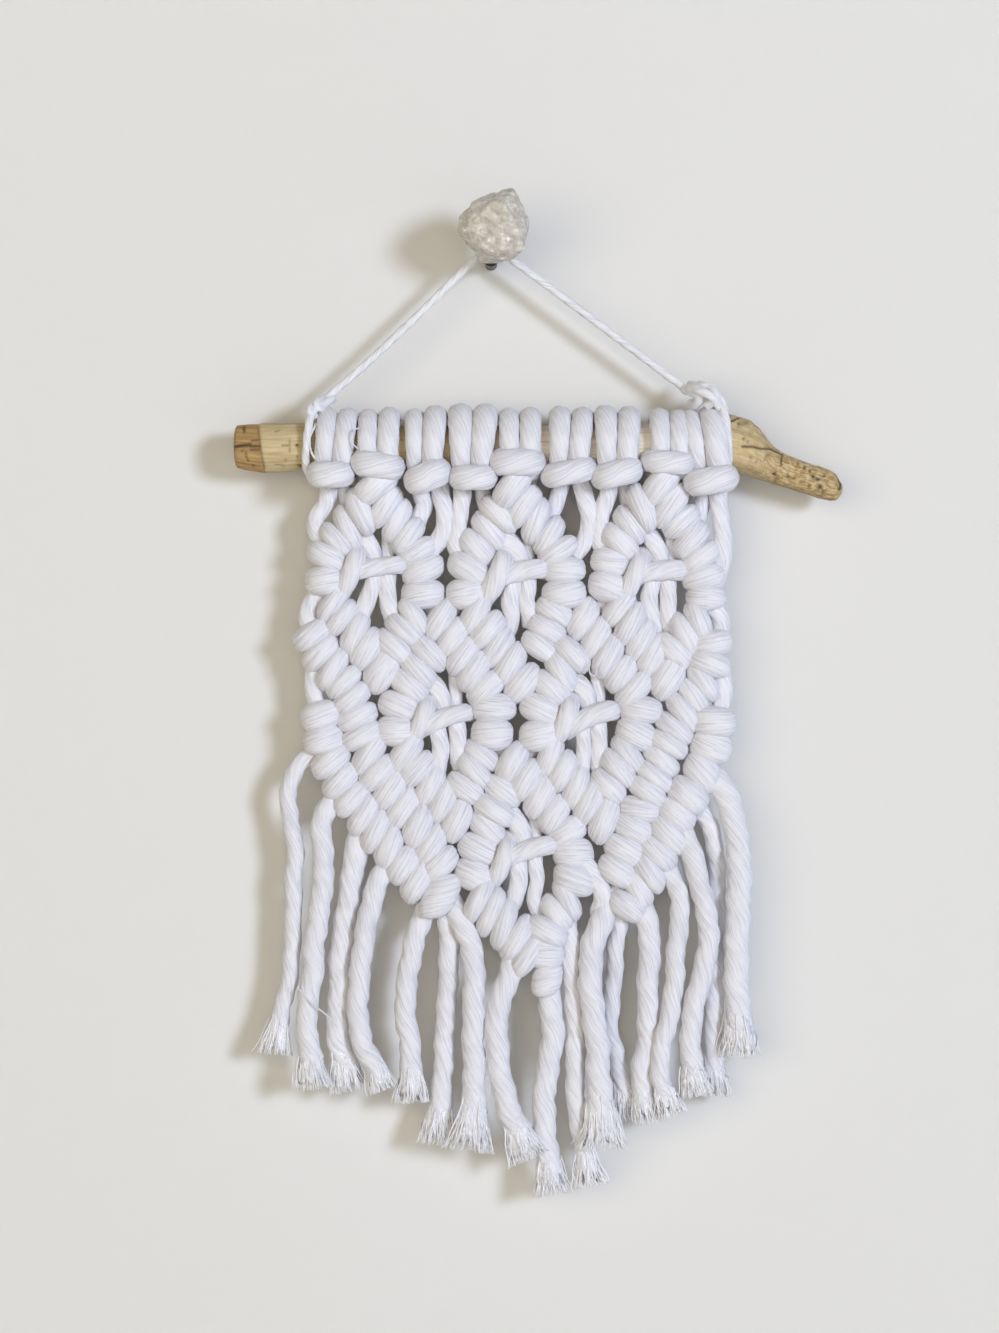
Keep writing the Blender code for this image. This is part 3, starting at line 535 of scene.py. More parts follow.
# The lark's heads: nine doubled cords, each folded over the branch. Its two strands come down before the
# branch and go through their own fold, which lies across them as a plump bar.
BRANCH_RADIUS = 0.0088
BRANCH_Z = -0.0751
CORD_TURN = 120.0
CORD_RIDGES = (7, 0.00017), (12, 0.00010)  # how many round the cord, and how deep
FOLDS = (  # each strand's two edges over the branch, and its two edges at the foot, in pixels across
    (318, 338, 315, 331), (338, 358, 331, 350), (359, 378, 358, 377), (379, 400, 377, 398),
    (405, 424, 408, 422), (424, 447, 422, 441), (448, 473, 453, 470), (473, 498, 470, 489),
    (499, 519, 501, 519), (520, 541, 519, 539), (549, 571, 550, 566), (572, 593, 566, 586),
    (594, 617, 598, 615), (618, 640, 615, 635), (649, 669, 651, 669), (669, 687, 669, 688),
    (681, 699, 692, 708), (699, 722, 708, 731),
)
LARKS_BARS = (  # from and to across, its middle down, how far it rises to the right, and its radius
    (308, 355, 476, 0, 13), (351, 405, 467, -4, 13), (405, 451, 478, 7, 14.5), (449, 497, 479, 0, 12.5),
    (489, 545, 464, 0, 13.5), (541, 596, 474, 6, 12), (591, 642, 475, 6, 13), (640, 694, 464, -2, 11.5),
    (683, 737, 482, 4, 13.5),
)
BAR_FRONT, BAR_BACK = 0.0155, 0.0040  # how far a bar's middle line lies before the branch's
LOOP_FLAT, BAR_FLAT = 0.86, 0.88  # how far each stands out, as a share of its half width
LOOP_FROM, LOOP_TO, BAR_ROUND = -62, 245, 104  # degrees round the branch, and round a bar's middle
LOOP_PLUMP = 1.03  # the loops press on one another
BAR_CORNER = 0.55
BAR_INSET, BAR_TILT = 0.80, 0.6  # shares of its radius and its rise, for its line's ends
BAR_LIFT = 2  # how much higher the line lies level with the branch's middle, in pixels
BAR_TURN = 110.0
white_cotton = cotton("white_cotton", (0.79, 0.785, 0.83), (0.60, 0.595, 0.665), 0.0010, 0.0006)
draws = np.random.default_rng(11)


def cord_ridges():
    """The soft ridges that the cord's yarns make along it, each time turned another way."""
    return [(count, depth, draws.uniform(0, 6)) for count, depth in CORD_RIDGES]


def larks_loop(top_from, top_to, foot_from, foot_to):
    """A strand round the branch. At the turn a from the branch's front up and over, each of its edges goes
    from its place at the foot to its place at the top by (1 + sin a) / 2."""
    a = np.radians(np.linspace(LOOP_FROM, LOOP_TO, 64))
    up = (1 + np.sin(a)) / 2
    left = foot_from * (1 - up) + top_from * up
    right = foot_to * (1 - up) + top_to * up
    radius = LOOP_PLUMP * (right - left) * PIXEL / 2
    out = np.column_stack([0 * a, -np.cos(a), np.sin(a)])
    line = (BRANCH_RADIUS + LOOP_FLAT * radius)[:, None] * out + (0, BRANCH_Y, BRANCH_Z)
    line[:, 0] = ((left + right) / 2 - ORIGIN_ACROSS) * PIXEL
    return strand_skin(line, radius, 32, CORD_TURN, out, LOOP_FLAT, cord_ridges())


def larks_bar(left, right, down, rise, radius):
    """A fold that lies across its two strands and goes back round them. At the turn a from its middle it
    lies sideways by sin a and forwards by cos a, each of them to the power BAR_CORNER, and lifts a little
    as it goes back."""
    a = np.radians(np.linspace(-BAR_ROUND, BAR_ROUND, 90))
    sideways, forwards = (np.sign(wave) * np.abs(wave) ** BAR_CORNER for wave in (np.sin(a), np.cos(a)))
    x = (left + right) / 2 + ((right - left) / 2 - BAR_INSET * radius) * sideways
    z = down - BAR_TILT * rise * sideways - BAR_LIFT * (1 - forwards)
    before = BAR_BACK + (BAR_FRONT - BAR_BACK) * forwards
    line = smooth_line(charted(np.column_stack([x, z]), BRANCH_Y - before), step=0.0006)
    tangent = np.gradient(line, axis=0)
    out = np.column_stack([tangent[:, 1], -tangent[:, 0], 0 * tangent[:, 2]])
    return strand_skin(line, radius * PIXEL, 36, BAR_TURN, out, BAR_FLAT, cord_ridges())


loops = [larks_loop(*fold) for fold in FOLDS]
bars = [larks_bar(*bar) for bar in LARKS_BARS]
add_piece("larks_head_loops", loops, white_cotton, "cotton_cord", "knotted_panel")
add_piece("larks_head_bars", bars, white_cotton, "cotton_cord")

# The thin cord's two ends: each goes once round the branch beside the outermost loops and is knotted to
# its own standing part. The left knot is small, and the right one is fuller, of several turns.
HANGER_ENDS = {  # width, then points across, down and millimetres before the branch's middle
    "left": (
        (8, ((333, 398, 0), (327, 402, 3), (320, 407, 6), (314, 412, 8), (311, 421, 10), (309, 433, 12),
            (307.5, 450, 12), (306.5, 464, 9), (309, 473, 4), (312, 477, -2), (314, 470, -8),
            (315, 450, -11), (315, 425, -8), (315, 412, -3), (319, 406, 0), (325, 404, 1))),
        (7, ((328, 408, -3), (325, 410, 2), (320, 409.5, 7), (317, 405, 8), (319, 400.5, 5),
            (324, 398, 0))),
        (7, ((319, 417, 1), (314.5, 416.5, 8), (310.5, 413, 10), (311, 408.5, 8), (316, 406, 2))),
        (2, ((317, 425, 9), (313, 434, 12), (310.5, 443, 13), (312.5, 453, 13), (318, 463, 11))),
    ),
    "right": (
        (10, ((684, 388, 0), (690, 391, 3), (698, 396, 6), (706, 401, 6), (713, 407, 4), (718, 413, 0))),
        (9, ((691, 384, -3), (696, 388, 5), (699, 395, 9), (698, 402, 7), (694, 406, 1), (692, 402, -3))),
        (9, ((689, 389, 5), (697, 391.5, 10), (706, 396, 12), (714, 402, 11), (719, 409, 7))),
        (9, ((699, 385, 0), (707, 389, 7), (713.5, 395, 10), (713.5, 402, 10), (706, 406.5, 7))),
        (9, ((686, 390, -1), (694, 388, 3), (703, 387, 7), (711, 390, 7), (717, 396, 7), (721, 405, 8),
            (723.5, 416, 9.5), (725.5, 430, 10.5), (727, 445, 10.5), (727, 460, 9), (727, 470, 4),
            (727, 470, -7), (727, 440, -10), (724, 415, -8), (716, 401, -4), (706, 395, -1))),
    ),
}


def thin_strand(width, points):
    """A thin cord's skin through the points, the third number of each being its depth."""
    points = np.array(points, float)
    line = smooth_line(charted(points[:, :2], BRANCH_Y - points[:, 2] * MM), step=0.0007)
    plies = [(HANGER_PLIES, HANGER_PLY_DEPTH, draws.uniform(0, 6))]
    return strand_skin(line, width * PIXEL / 2, 16, HANGER_TURN, ridges=plies)


for side, ends in HANGER_ENDS.items():
    knot = "hanger_knot_" + side
    add_piece(knot + "_cord", [thin_strand(*end) for end in ends], thin_cotton, "hanger_cotton", knot)

# The rows of double half hitches: six diamonds of four rows each, and the two slanting rows of each side.
# Each working cord goes twice round the row's carrier cord, and each turn is a plump, slanting band.
ROWS = {  # the middle of each turn, across and down in pixels
    "upper_left_top": ((376, 487), (386, 507), (397, 521), (408, 536), (417, 551), (423, 570), (423, 594)),
    "upper_left_side": ((361, 512), (348, 528), (337, 540), (328, 557), (326, 581)),
    "upper_left_low": ((333, 603), (342, 618), (355, 633), (367, 649), (382, 671)),
    "upper_left_close": ((414, 616), (404, 630), (394, 647)),
    "upper_middle_top": ((512, 488), (524, 507), (536, 521), (549, 536), (558, 551), (564, 570), (564, 594)),
    "upper_middle_side": ((499, 515), (489, 531), (477, 548), (469, 569), (467, 594)),
    "upper_middle_low": ((475, 614), (487, 630), (498, 648), (510, 664), (523, 683)),
    "upper_middle_close": ((555, 612), (547, 629), (540, 647)),
    "upper_right_top": ((660, 485), (670, 506), (681, 522), (691, 540), (700, 557), (704, 577), (706, 598)),
    "upper_right_side": ((642, 508), (630, 525), (620, 542), (611, 562), (609, 587)),
    "upper_right_low": ((619, 608), (630, 624), (641, 640), (652, 656), (667, 678)),
    "upper_right_close": ((698, 620), (685, 634), (674, 651)),
    "middle_left_top": ((440, 620), (453, 637), (463, 655), (474, 671), (486, 688), (494, 708), (492, 734)),
    "middle_left_side": ((429, 653), (418, 670), (409, 686), (400, 706), (397, 731)),
    "middle_left_low": ((406, 752), (418, 769), (430, 786), (443, 801), (457, 820)),
    "middle_left_close": ((482, 755), (474, 770), (465, 788)),
    "middle_right_top": ((583, 619), (596, 638), (608, 656), (621, 674), (634, 690), (641, 710), (636, 734)),
    "middle_right_side": ((572, 654), (561, 671), (551, 688), (541, 709), (540, 735)),
    "middle_right_low": ((550, 756), (563, 771), (576, 787), (589, 802), (604, 820)),
    "middle_right_close": ((628, 754), (618, 768), (608, 786)),
    "lowest_top": ((512, 763), (526, 780), (540, 797), (554, 814), (567, 831), (573, 853), (574, 879)),
    "lowest_side": ((503, 791), (494, 810), (487, 828), (479, 849), (475, 875)),
    "lowest_low": ((479, 899), (491, 912), (504, 924), (517, 938), (528, 955)),
    "lowest_close": ((567, 899), (557, 913), (547, 931), (543, 954)),
    "left_inner": (
        (312, 635), (321, 653), (333, 669), (344, 682), (352, 698), (357, 717), (362, 736),
        (369, 754), (378, 773), (390, 790), (403, 808), (418, 826), (431, 845), (440, 864),
    ),
    "left_outer": (
        (321, 716), (324, 740), (331, 761), (341, 781), (352, 799),
        (364, 815), (376, 831), (389, 847), (403, 865), (417, 882),
    ),
    "right_inner": (
        (712, 643), (710, 664), (703, 682), (693, 696), (683, 712), (674, 728), (668, 744),
        (661, 760), (654, 776), (647, 791), (640, 809), (633, 828), (625, 850), (617, 871),
    ),
    "right_outer": (
        (714, 722), (711, 747), (702, 772), (688, 795), (677, 814),
        (669, 835), (658, 853), (649, 872), (638, 888), (627, 906),
    ),
}
BAND_HALF = 0.0087  # across the row
BAND_EDGE, BAND_BACK = 3.0, 2.3  # the two exponents of its rounded outline
BAND_LEAN = math.radians(17)  # one unit of lean
BAND_LENGTH = 0.65  # to each side, as a share of the turns' distance, so that they press on one another
BAND_RIDGES = (0.0024, 0.00011), (0.0015, 0.00006)  # wave and depth of the yarns round it, in metres
RIDGE_LEAN = 0.16  # how far the yarns turn as they go round
BAND_ROWS, BAND_COLUMNS = 22, 32
FULLER_ROW, FULLER = "lowest_low", 1.14  # the row that ends the point is less tightly drawn
TILTED, SHIFTED, LEANING = 0.045, 0.0004, 0.25  # how unlike the turns are: standard deviations
TURN_SIZES = 0.94, 1.05
SLANT_LEAN, MOST_LEAN = -1.25, 1.2  # units of lean in a row that slants by 45 degrees, and at most
LEAD, LEAD_FROM, LEAD_TO = 6.0 * MM, 490, 530  # the topmost bands come forward to the lark's heads


def hitch_band(middle, along, length, half, lean, phase):
    """One turn of cord round a row's carrier: a cushion whose reach from the row's middle line, at the share
    w of its length, is half (1 - |w|^BAND_EDGE)^(1/BAND_BACK). It slants: each point moves along the row by
    tan(lean) times its distance across it. Fine ridges run round it, and the cord's twist turns them."""
    out = np.array((0.0, -1.0, 0.0))
    across = np.cross(along, out)
    w = np.sin(np.linspace(-0.5, 0.5, BAND_ROWS) * math.pi)[:, None] * 0.999
    a = angles_round(BAND_COLUMNS)
    reach = half * (1 - np.abs(w) ** BAND_EDGE) ** (1 / BAND_BACK)
    arc = lengths_along(np.hstack([w * length, reach]))[:, None]
    reach = reach + 0 * a
    round_it = a * half
    fibre = arc - math.copysign(RIDGE_LEAN, lean) * round_it
    for wave, depth in BAND_RIDGES:
        reach = reach + depth * np.sin(2 * math.pi * fibre / wave + phase + 900 * depth)
    side = reach * np.sin(a)
    forward = w * length + math.tan(lean) * side
    depthwise = 0.97 * reach * np.cos(a)
    skin = middle + forward[..., None] * along + side[..., None] * across + depthwise[..., None] * out
    fibres = np.stack([round_it + 0 * w, fibre], -1)
    return skin[:, :-1], fibres + phase


def hitch_bands(row, fuller):
    """The row's bands. Each is as long as its neighbours leave room and is a little unlike the others: it is
    tilted, shifted, larger or smaller, and leans by its row's slant."""
    middles = charted(row)
    steps = np.gradient(middles, axis=0)
    bands = []
    for middle, step, (_, down) in zip(middles, steps, row, strict=True):
        lead = LEAD * np.clip((LEAD_TO - down) / (LEAD_TO - LEAD_FROM), 0, 1)
        pitch = np.linalg.norm(step)
        angle = draws.normal(0, TILTED)
        x, _, z = unit(step)
        cos, sin = math.cos(angle), math.sin(angle)
        along = np.array((x * cos - z * sin, 0.0, x * sin + z * cos))
        half = (BAND_HALF + lead / 6) * fuller * draws.uniform(*TURN_SIZES)
        middle = middle + (0, draws.normal(0, SHIFTED) - lead, 0)
        lean = SLANT_LEAN * step[0] / step[2] + draws.normal(0, LEANING)
        lean = BAND_LEAN * np.clip(lean, -MOST_LEAN, MOST_LEAN)
        bands.append(hitch_band(middle, along, BAND_LENGTH * pitch, half, lean, draws.uniform(0, 6)))
    return bands


FRINGE_ROWS = {"left_outer": "fringe_left", "lowest_low": "fringe_point", "right_outer": "fringe_right"}
for name, row in ROWS.items():
    bands = hitch_bands(row, FULLER if name == FULLER_ROW else 1.0)
    nodes = [FRINGE_ROWS[name]] if name in FRINGE_ROWS else []
    add_piece("hitches_" + name, bands, white_cotton, "cotton_cord", *nodes)

# The six square knots: in each diamond four strands of the cord cross. Two fillers go straight down
# through the knot, one working strand lies across them as a bar, and the other covers its left end.
SQUARE_KNOTS = {  # each strand's width and points: in from left and right, bar, cover, out to left and right
    "upper_left": (
        (18, ((348, 522), (360, 532), (370, 546), (373, 560), (373, 574))),
        (14, ((389, 530), (388, 544), (387, 558), (386, 572))),
        (18, ((350, 574), (361, 570), (380, 567), (396, 565), (409, 566))),
        (19, ((360, 550), (357, 558), (352, 572), (345, 587), (338, 597))),
        (18, ((376, 572), (373, 586), (367, 601), (361, 616), (357, 630))),
        (18, ((387, 572), (387, 584), (388, 600), (392, 615), (398, 628))),
    ),
    "upper_middle": (
        (22, ((490, 524), (502, 536), (514, 550), (519, 562), (519, 578))),
        (14, ((530, 528), (528, 543), (527, 560), (526, 578))),
        (20, ((493, 581), (503, 576), (521, 571), (538, 569), (551, 570))),
        (21, ((506, 553), (503, 563), (497, 578), (489, 592), (480, 603))),
        (17, ((516, 576), (512, 590), (510, 604), (512, 616), (508, 632))),
        (17, ((528, 574), (528, 588), (526, 600), (529, 612), (531, 625))),
    ),
    "upper_right": (
        (18, ((636, 519), (647, 532), (656, 546), (660, 558), (661, 576))),
        (14, ((672, 528), (671, 543), (670, 560), (670, 578))),
        (20, ((634, 577), (645, 573), (660, 571), (675, 570), (690, 572))),
        (20, ((644, 554), (640, 564), (634, 577), (627, 590), (619, 600))),
        (17, ((655, 576), (651, 587), (649, 600), (652, 616), (656, 634))),
        (17, ((667, 574), (668, 587), (668, 600), (668, 616), (671, 632))),
    ),
    "middle_left": (
        (18, ((418, 668), (429, 680), (438, 690), (442, 702), (443, 722))),
        (15, ((457, 664), (456, 680), (455, 698), (455, 718))),
        (18, ((419, 731), (430, 724), (443, 718), (461, 713), (476, 713))),
        (18, ((430, 698), (427, 708), (422, 720), (416, 732), (409, 742))),
        (17, ((439, 718), (438, 732), (441, 746), (439, 762), (436, 776))),
        (17, ((454, 712), (457, 726), (458, 740), (458, 757), (462, 772))),
    ),
    "middle_right": (
        (18, ((564, 668), (575, 680), (584, 690), (588, 702), (589, 720))),
        (15, ((599, 664), (598, 680), (598, 698), (598, 716))),
        (20, ((566, 731), (577, 723), (590, 716), (607, 711), (621, 711))),
        (19, ((573, 697), (570, 707), (566, 719), (560, 732), (552, 742))),
        (15, ((584, 718), (583, 732), (584, 747), (583, 764), (580, 778))),
        (17, ((597, 712), (598, 726), (599, 742), (598, 760), (602, 776))),
    ),
    "lowest": (
        (20, ((499, 799), (509, 812), (518, 824), (522, 836), (523, 856))),
        (14, ((536, 800), (535, 816), (535, 834), (535, 852))),
        (19, ((503, 860), (513, 855), (529, 849), (546, 845), (559, 846))),
        (18, ((511, 836), (507, 848), (503, 861), (497, 874), (488, 887))),
        (18, ((519, 852), (518, 866), (519, 880), (515, 897), (509, 910))),
        (15, ((534, 850), (535, 862), (537, 880), (534, 898), (539, 916))),
    ),
}
CORD_SWELL, SWELL_WAVE = 0.03, 0.004  # its uneven width, as a share, and that wave's length
CORD_FLAT = 0.92  # how far it stands out, as a share of its half width
KNOT_DEPTHS = (  # how far before the cloth's middle each strand runs, in millimetres, from start to end
    (-4, 0, 0.5, 0),
    (-4, -3, -2.5, -0.5),
    (0, 4.5, 4.5, 4, -7),
    (-4, 5, 5.5, 3.5, -5),
    (0, 2.5, 1.5, -3.5),
    (-0.5, 2, 1, -3.5),
)


def cord_part(width, points, depths):
    """A piece of the thick cord through pixels of the chart. Its depth goes evenly through the depths."""
    share = np.linspace(0, 1, len(points))
    before = np.interp(share, np.linspace(0, 1, len(depths)), depths) * MM
    line = smooth_line(charted(points, CLOTH_Y - before), step=0.0009)
    swell = 1 + CORD_SWELL * np.sin(lengths_along(line) / SWELL_WAVE + draws.uniform(0, 6))
    radius = width * PIXEL / 2 * swell
    return strand_skin(line, radius, 32, CORD_TURN, flat=CORD_FLAT, ridges=cord_ridges())


for name, parts in SQUARE_KNOTS.items():
    skins = [cord_part(*part, depths) for part, depths in zip(parts, KNOT_DEPTHS, strict=True)]
    add_piece("square_knot_" + name, skins, white_cotton, "cotton_cord")

# The strands that go from one knot to the next: below the lark's heads, down the two margins and behind
# the rows. Each is the same thick cord, and most of it lies in the shade of what it joins.
LINKS = (  # width in pixels, how far before the cloth's middle in millimetres, and the points
    # from the lark's heads, the left strand and then the right one of each
    (18, -1, ((328, 480), (329, 490), (325, 505), (316, 518), (317, 532), (324, 545))),
    (16, -3, ((345, 480), (345, 492), (350, 505), (360, 515))),
    (18, -2, ((364, 470), (365, 482), (368, 495))),
    (18, -2, ((390, 470), (386, 482), (380, 494))),
    (18, -2, ((420, 480), (421, 492), (424, 505), (418, 520), (412, 532))),
    (18, 0, ((438, 480), (441, 495), (445, 515), (443, 533), (430, 551), (424, 560))),
    (18, 0, ((463, 480), (462, 498), (458, 525), (456, 545), (464, 560))),
    (16, -3, ((482, 480), (484, 498), (489, 515), (498, 526))),
    (18, -2, ((505, 468), (506, 480), (508, 494))),
    (18, -2, ((532, 468), (528, 480), (520, 494))),
    (17, -3, ((562, 475), (560, 490), (554, 508), (546, 524))),
    (18, 0, ((580, 475), (584, 495), (590, 518), (585, 540), (573, 556))),
    (18, 0, ((610, 478), (608, 495), (601, 515), (599, 538), (607, 556))),
    (16, -3, ((625, 478), (627, 494), (631, 508), (640, 518))),
    (18, -2, ((652, 466), (653, 478), (656, 492))),
    (18, -2, ((680, 466), (676, 478), (668, 492))),
    (17, -3, ((702, 480), (703, 500), (698, 518), (690, 530))),
    (18, 0, ((718, 482), (719, 505), (723, 535), (722, 562), (713, 590), (708, 606))),
    # down the margins
    (18, -1, ((322, 588), (312, 602), (307, 616), (312, 632))),
    (18, -1.5, ((318, 660), (314, 676), (314, 694), (320, 712))),
    (18, -1, ((712, 604), (720, 616), (721, 630), (714, 642))),
    (18, -1.5, ((712, 656), (721, 672), (724, 694), (718, 716))),
    # from diamond to diamond
    (18, -3.5, ((423, 596), (432, 606), (440, 616))),
    (18, -3.5, ((466, 596), (455, 606), (444, 618))),
    (18, -3.5, ((564, 596), (574, 606), (582, 616))),
    (18, -3.5, ((609, 590), (600, 604), (588, 618))),
    (18, -3.5, ((490, 736), (500, 748), (510, 762))),
    (18, -3.5, ((540, 738), (530, 750), (518, 764))),
    # a strand that curls beside the lowest diamond, and comes forward and goes back
    (18, (1.5, 2, 0, -6), ((582, 858), (592, 872), (600, 886), (603, 900), (599, 912), (606, 916))),
)
links = [cord_part(width, points, np.atleast_1d(depths)) for width, depths, points in LINKS]
add_piece("linking_strands", links, white_cotton, "cotton_cord")

# The two small knots that end the lowest rows: one at the foot of the left side, one under the point.
# Each is one plump turn of the cord, drawn tight.
END_KNOTS = (  # the middle across and down, half length and half width in pixels, tilt and lean in degrees
    (440, 896, 24, 17, 20, 24),
    (547, 979, 18, 15, 8, 14),
)
end_knots = []
for across, down, length, half, *angles in END_KNOTS:
    tilt, lean = np.radians(angles)
    along = np.array((-math.sin(tilt), 0.0, -math.cos(tilt)))
    middle = charted([(across, down)], CLOTH_Y - 2 * MM)[0]
    end_knots.append(hitch_band(middle, along, length * PIXEL, half * PIXEL, lean, draws.uniform(0, 6)))
add_piece("end_knots", end_knots, white_cotton, "cotton_cord")

# The fringe: eighteen strands of the same cord, cut by hand at slightly different lengths. Each still has
# soft kinks where hitches had pressed it, and its last two centimetres or so are combed out into yarns.
FRINGE = {  # each strand's y in millimetres, its width and its end's spread in pixels, and its points
    "left": (
        (-17, 17, 36, ((328, 752), (312, 756), (298, 766), (289, 786), (289, 816), (295, 846), (293, 882),
            (293, 915), (291, 962), (287, 990), (279, 1019), (274, 1055))),
        (-22, 21, 38, ((350, 790), (338, 796), (327, 808), (321, 830), (324, 863), (321, 901), (315, 939),
            (313, 974), (307, 1010), (309, 1045), (314, 1088))),
        (-17, 23, 42, ((378, 826), (365, 832), (357, 844), (354, 862), (350, 892), (344, 929), (340, 962),
            (340, 998), (337, 1028), (342, 1055), (350, 1091))),
        (-23, 21, 28, ((404, 856), (392, 862), (381, 876), (373, 898), (365, 934), (360, 974), (358, 1010),
            (363, 1043), (374, 1064), (383, 1090))),
        (-19, 21, 36, ((432, 896), (425, 910), (415, 939), (408, 974), (405, 1010), (410, 1045),
            (411, 1070), (412, 1103))),
        (-16, 20, 44, ((446, 905), (449, 939), (448, 984), (445, 1029), (443, 1073), (440, 1108),
            (437, 1145))),
        (-23, 22, 50, ((444, 892), (455, 908), (464, 928), (473, 955), (474, 990), (473, 1029), (474, 1073),
            (473, 1108), (469, 1150))),
    ),
    "point": (
        (-24, 23, 42, ((524, 930), (516, 950), (508, 980), (498, 1006), (497, 1040), (500, 1073),
            (509, 1108), (518, 1130), (529, 1158))),
        (-20, 23, 38, ((547, 980), (550, 1002), (553, 1030), (550, 1056), (545, 1085), (544, 1122),
            (547, 1150), (552, 1195))),
        (-19, 19, 36, ((556, 900), (567, 922), (571, 950), (572, 975), (575, 1006), (576, 1040),
            (575, 1069), (577, 1111), (584, 1145), (590, 1186))),
    ),
    "right": (
        (-24, 24, 54, ((622, 888), (610, 904), (596, 934), (590, 964), (592, 1006), (597, 1040),
            (598, 1066), (600, 1100), (602, 1149))),
        (-14, 17, 36, ((624, 885), (620, 915), (616, 950), (614, 985), (610, 1027), (616, 1055),
            (621, 1076), (631, 1121))),
        (-20, 22, 32, ((634, 885), (643, 908), (650, 940), (648, 985), (648, 1040), (642, 1070),
            (644, 1096), (649, 1123))),
        (-24, 19, 30, ((656, 852), (668, 868), (680, 902), (676, 945), (673, 992), (667, 1024), (660, 1052),
            (661, 1080), (673, 1115))),
        (-15, 20, 34, ((668, 826), (682, 836), (691, 858), (700, 892), (708, 925), (713, 965), (714, 1018),
            (714, 1055), (715, 1098))),
        (-25, 21, 34, ((668, 818), (684, 834), (693, 858), (701, 892), (708, 925), (705, 960), (697, 990),
            (691, 1020), (690, 1045), (692, 1068), (697, 1094))),
        (-14, 17, 28, ((688, 800), (702, 812), (712, 832), (717, 860), (719, 900), (718, 961), (717, 1000),
            (716, 1030), (717, 1062))),
        (-21, 25, 44, ((700, 768), (715, 778), (727, 798), (735, 828), (739, 862), (738, 910), (736, 961),
            (737, 998), (739, 1027), (739, 1057))),
    ),
}
FRAY = 1.35  # how long each strand's combed end is, as a share of how wide it spreads
FRAY_CORE = 0.80  # the share of the spread that the strand itself reaches
FRAY_SHORT = 0.12  # the share of the combed length that it lacks
FRAY_HOLLOWS = (5, 0.0005), (9, 0.0004), (13, 0.0004)  # how many round its end, and how deep
FRAY_YARNS, YARN_STATIONS = 150, 8
YARN_RADII, YARN_WAVE = (0.00022, 0.00036), 0.0005
YARN_STARTS = 0.55, 0.92  # how far before the strand's end, as a share of the combed length
END_FLATTER = 0.30  # how much flatter than the cord the combed end is
KINK_EVERY, KINK_DEPTH = 0.0165, 0.00028
BEHIND, BEHIND_FOR = 4.5 * MM, 0.014  # each strand starts behind its row and comes out from under it
OWN_DEPTH_BY = 0.03  # how far down it hangs at its own depth
UNEVEN = 0.006  # how unevenly the strand's own end is cut


def frayed_strand(depth, width, spread, points):
    """A fringe strand, and the yarns of its end. The strand goes down the chart with kinks of KINK_DEPTH
    sin(2 pi s / KINK_EVERY). Over its last part, with t going from 0 to 1, it widens towards its spread by
    t^1.5, gets deeper hollows by t and ends unevenly. The yarns start inside it and end apart: each keeps
    its own share of the width and the depth, and is waved a little."""
    run = lengths_along(np.array(points)) * PIXEL
    behind = BEHIND * np.clip(1 - run / BEHIND_FOR, 0, 1)
    y = CLOTH_Y + (depth * MM - CLOTH_Y) * np.clip(run / OWN_DEPTH_BY, 0, 1) + behind
    line = smooth_line(charted(points, y), step=0.0012)
    s = lengths_along(line)
    fray = FRAY * spread * PIXEL
    t = np.clip((s - s[-1] + fray) / fray, 0, 1)
    sideways, deep = draws.uniform(0, 6, 2)
    hang = np.clip(s / 0.012, 0, 1) * (1 - 0.6 * t) * KINK_DEPTH
    turn = 2 * math.pi * s / KINK_EVERY
    line = line + np.column_stack([
        hang * np.sin(turn + sideways), hang * 1.6 * np.sin(turn / 1.13 + deep), 0 * s,
    ])
    radius, wide = width * PIXEL / 2, spread * PIXEL / 2
    swell = 1 + 0.05 * np.sin(2 * turn + sideways)
    reach = radius * swell + (FRAY_CORE * wide - radius) * t**1.5
    hollows = [(count, depth * t, draws.uniform(0, 6)) for count, depth in FRAY_HOLLOWS]
    core = s < s[-1] - FRAY_SHORT * fray
    ridges = cord_ridges() + [(count, depth[core], phase) for count, depth, phase in hollows]
    flat = (CORD_FLAT - END_FLATTER * t)[core, None]
    skin, fibres = strand_skin(line[core], reach[core], 40, CORD_TURN, flat=flat, ridges=ridges)
    tangent = unit(np.gradient(line, axis=0))
    uneven = UNEVEN * draws.uniform(-1.2, 0.6, 40)
    skin = skin + (uneven * t[core, None] ** 2)[..., None] * tangent[core, None]
    out = unit(np.array((0.0, -1.0, 0.0)) + tangent[:, 1:2] * tangent)
    across = np.cross(tangent, out)
    bearing = draws.uniform(-math.pi, math.pi, FRAY_YARNS)
    share = np.sqrt(draws.uniform(0.45, 1.1, FRAY_YARNS))
    share[::12] *= 1.25
    sizes = draws.uniform(*YARN_RADII, FRAY_YARNS)
    starts = s[-1] - fray * draws.uniform(*YARN_STARTS, FRAY_YARNS)
    ends = s[-1] + fray * (0.06 - 0.36 * draws.uniform(0, 1, FRAY_YARNS) ** 1.6)
    waves = draws.uniform(0, 6, (FRAY_YARNS, 2))
    yarns = []
    for k in range(FRAY_YARNS):
        at = np.linspace(starts[k], ends[k], YARN_STATIONS)
        opened = np.clip((at - s[-1] + fray) / fray, 0, 1.1)
        half = radius * (0.70 + 0.25 * opened) + (wide - radius) * opened**1.5
        thick = half * (CORD_FLAT - END_FLATTER * opened)
        wave = YARN_WAVE * opened
        x = share[k] * math.sin(bearing[k]) * half + wave * np.sin(at / 0.0021 + waves[k, 0])
        d = share[k] * math.cos(bearing[k]) * thick + wave * np.sin(at / 0.0024 + waves[k, 1])
        place, sideway, outward = (read_at(at, s, rows) for rows in (line, across, out))
        path = place + x[:, None] * sideway + d[:, None] * outward
        yarns.append(strand_skin(path, sizes[k] * (1 - 0.5 * opened), 4, twist=0.0))
    return (skin, fibres), yarns


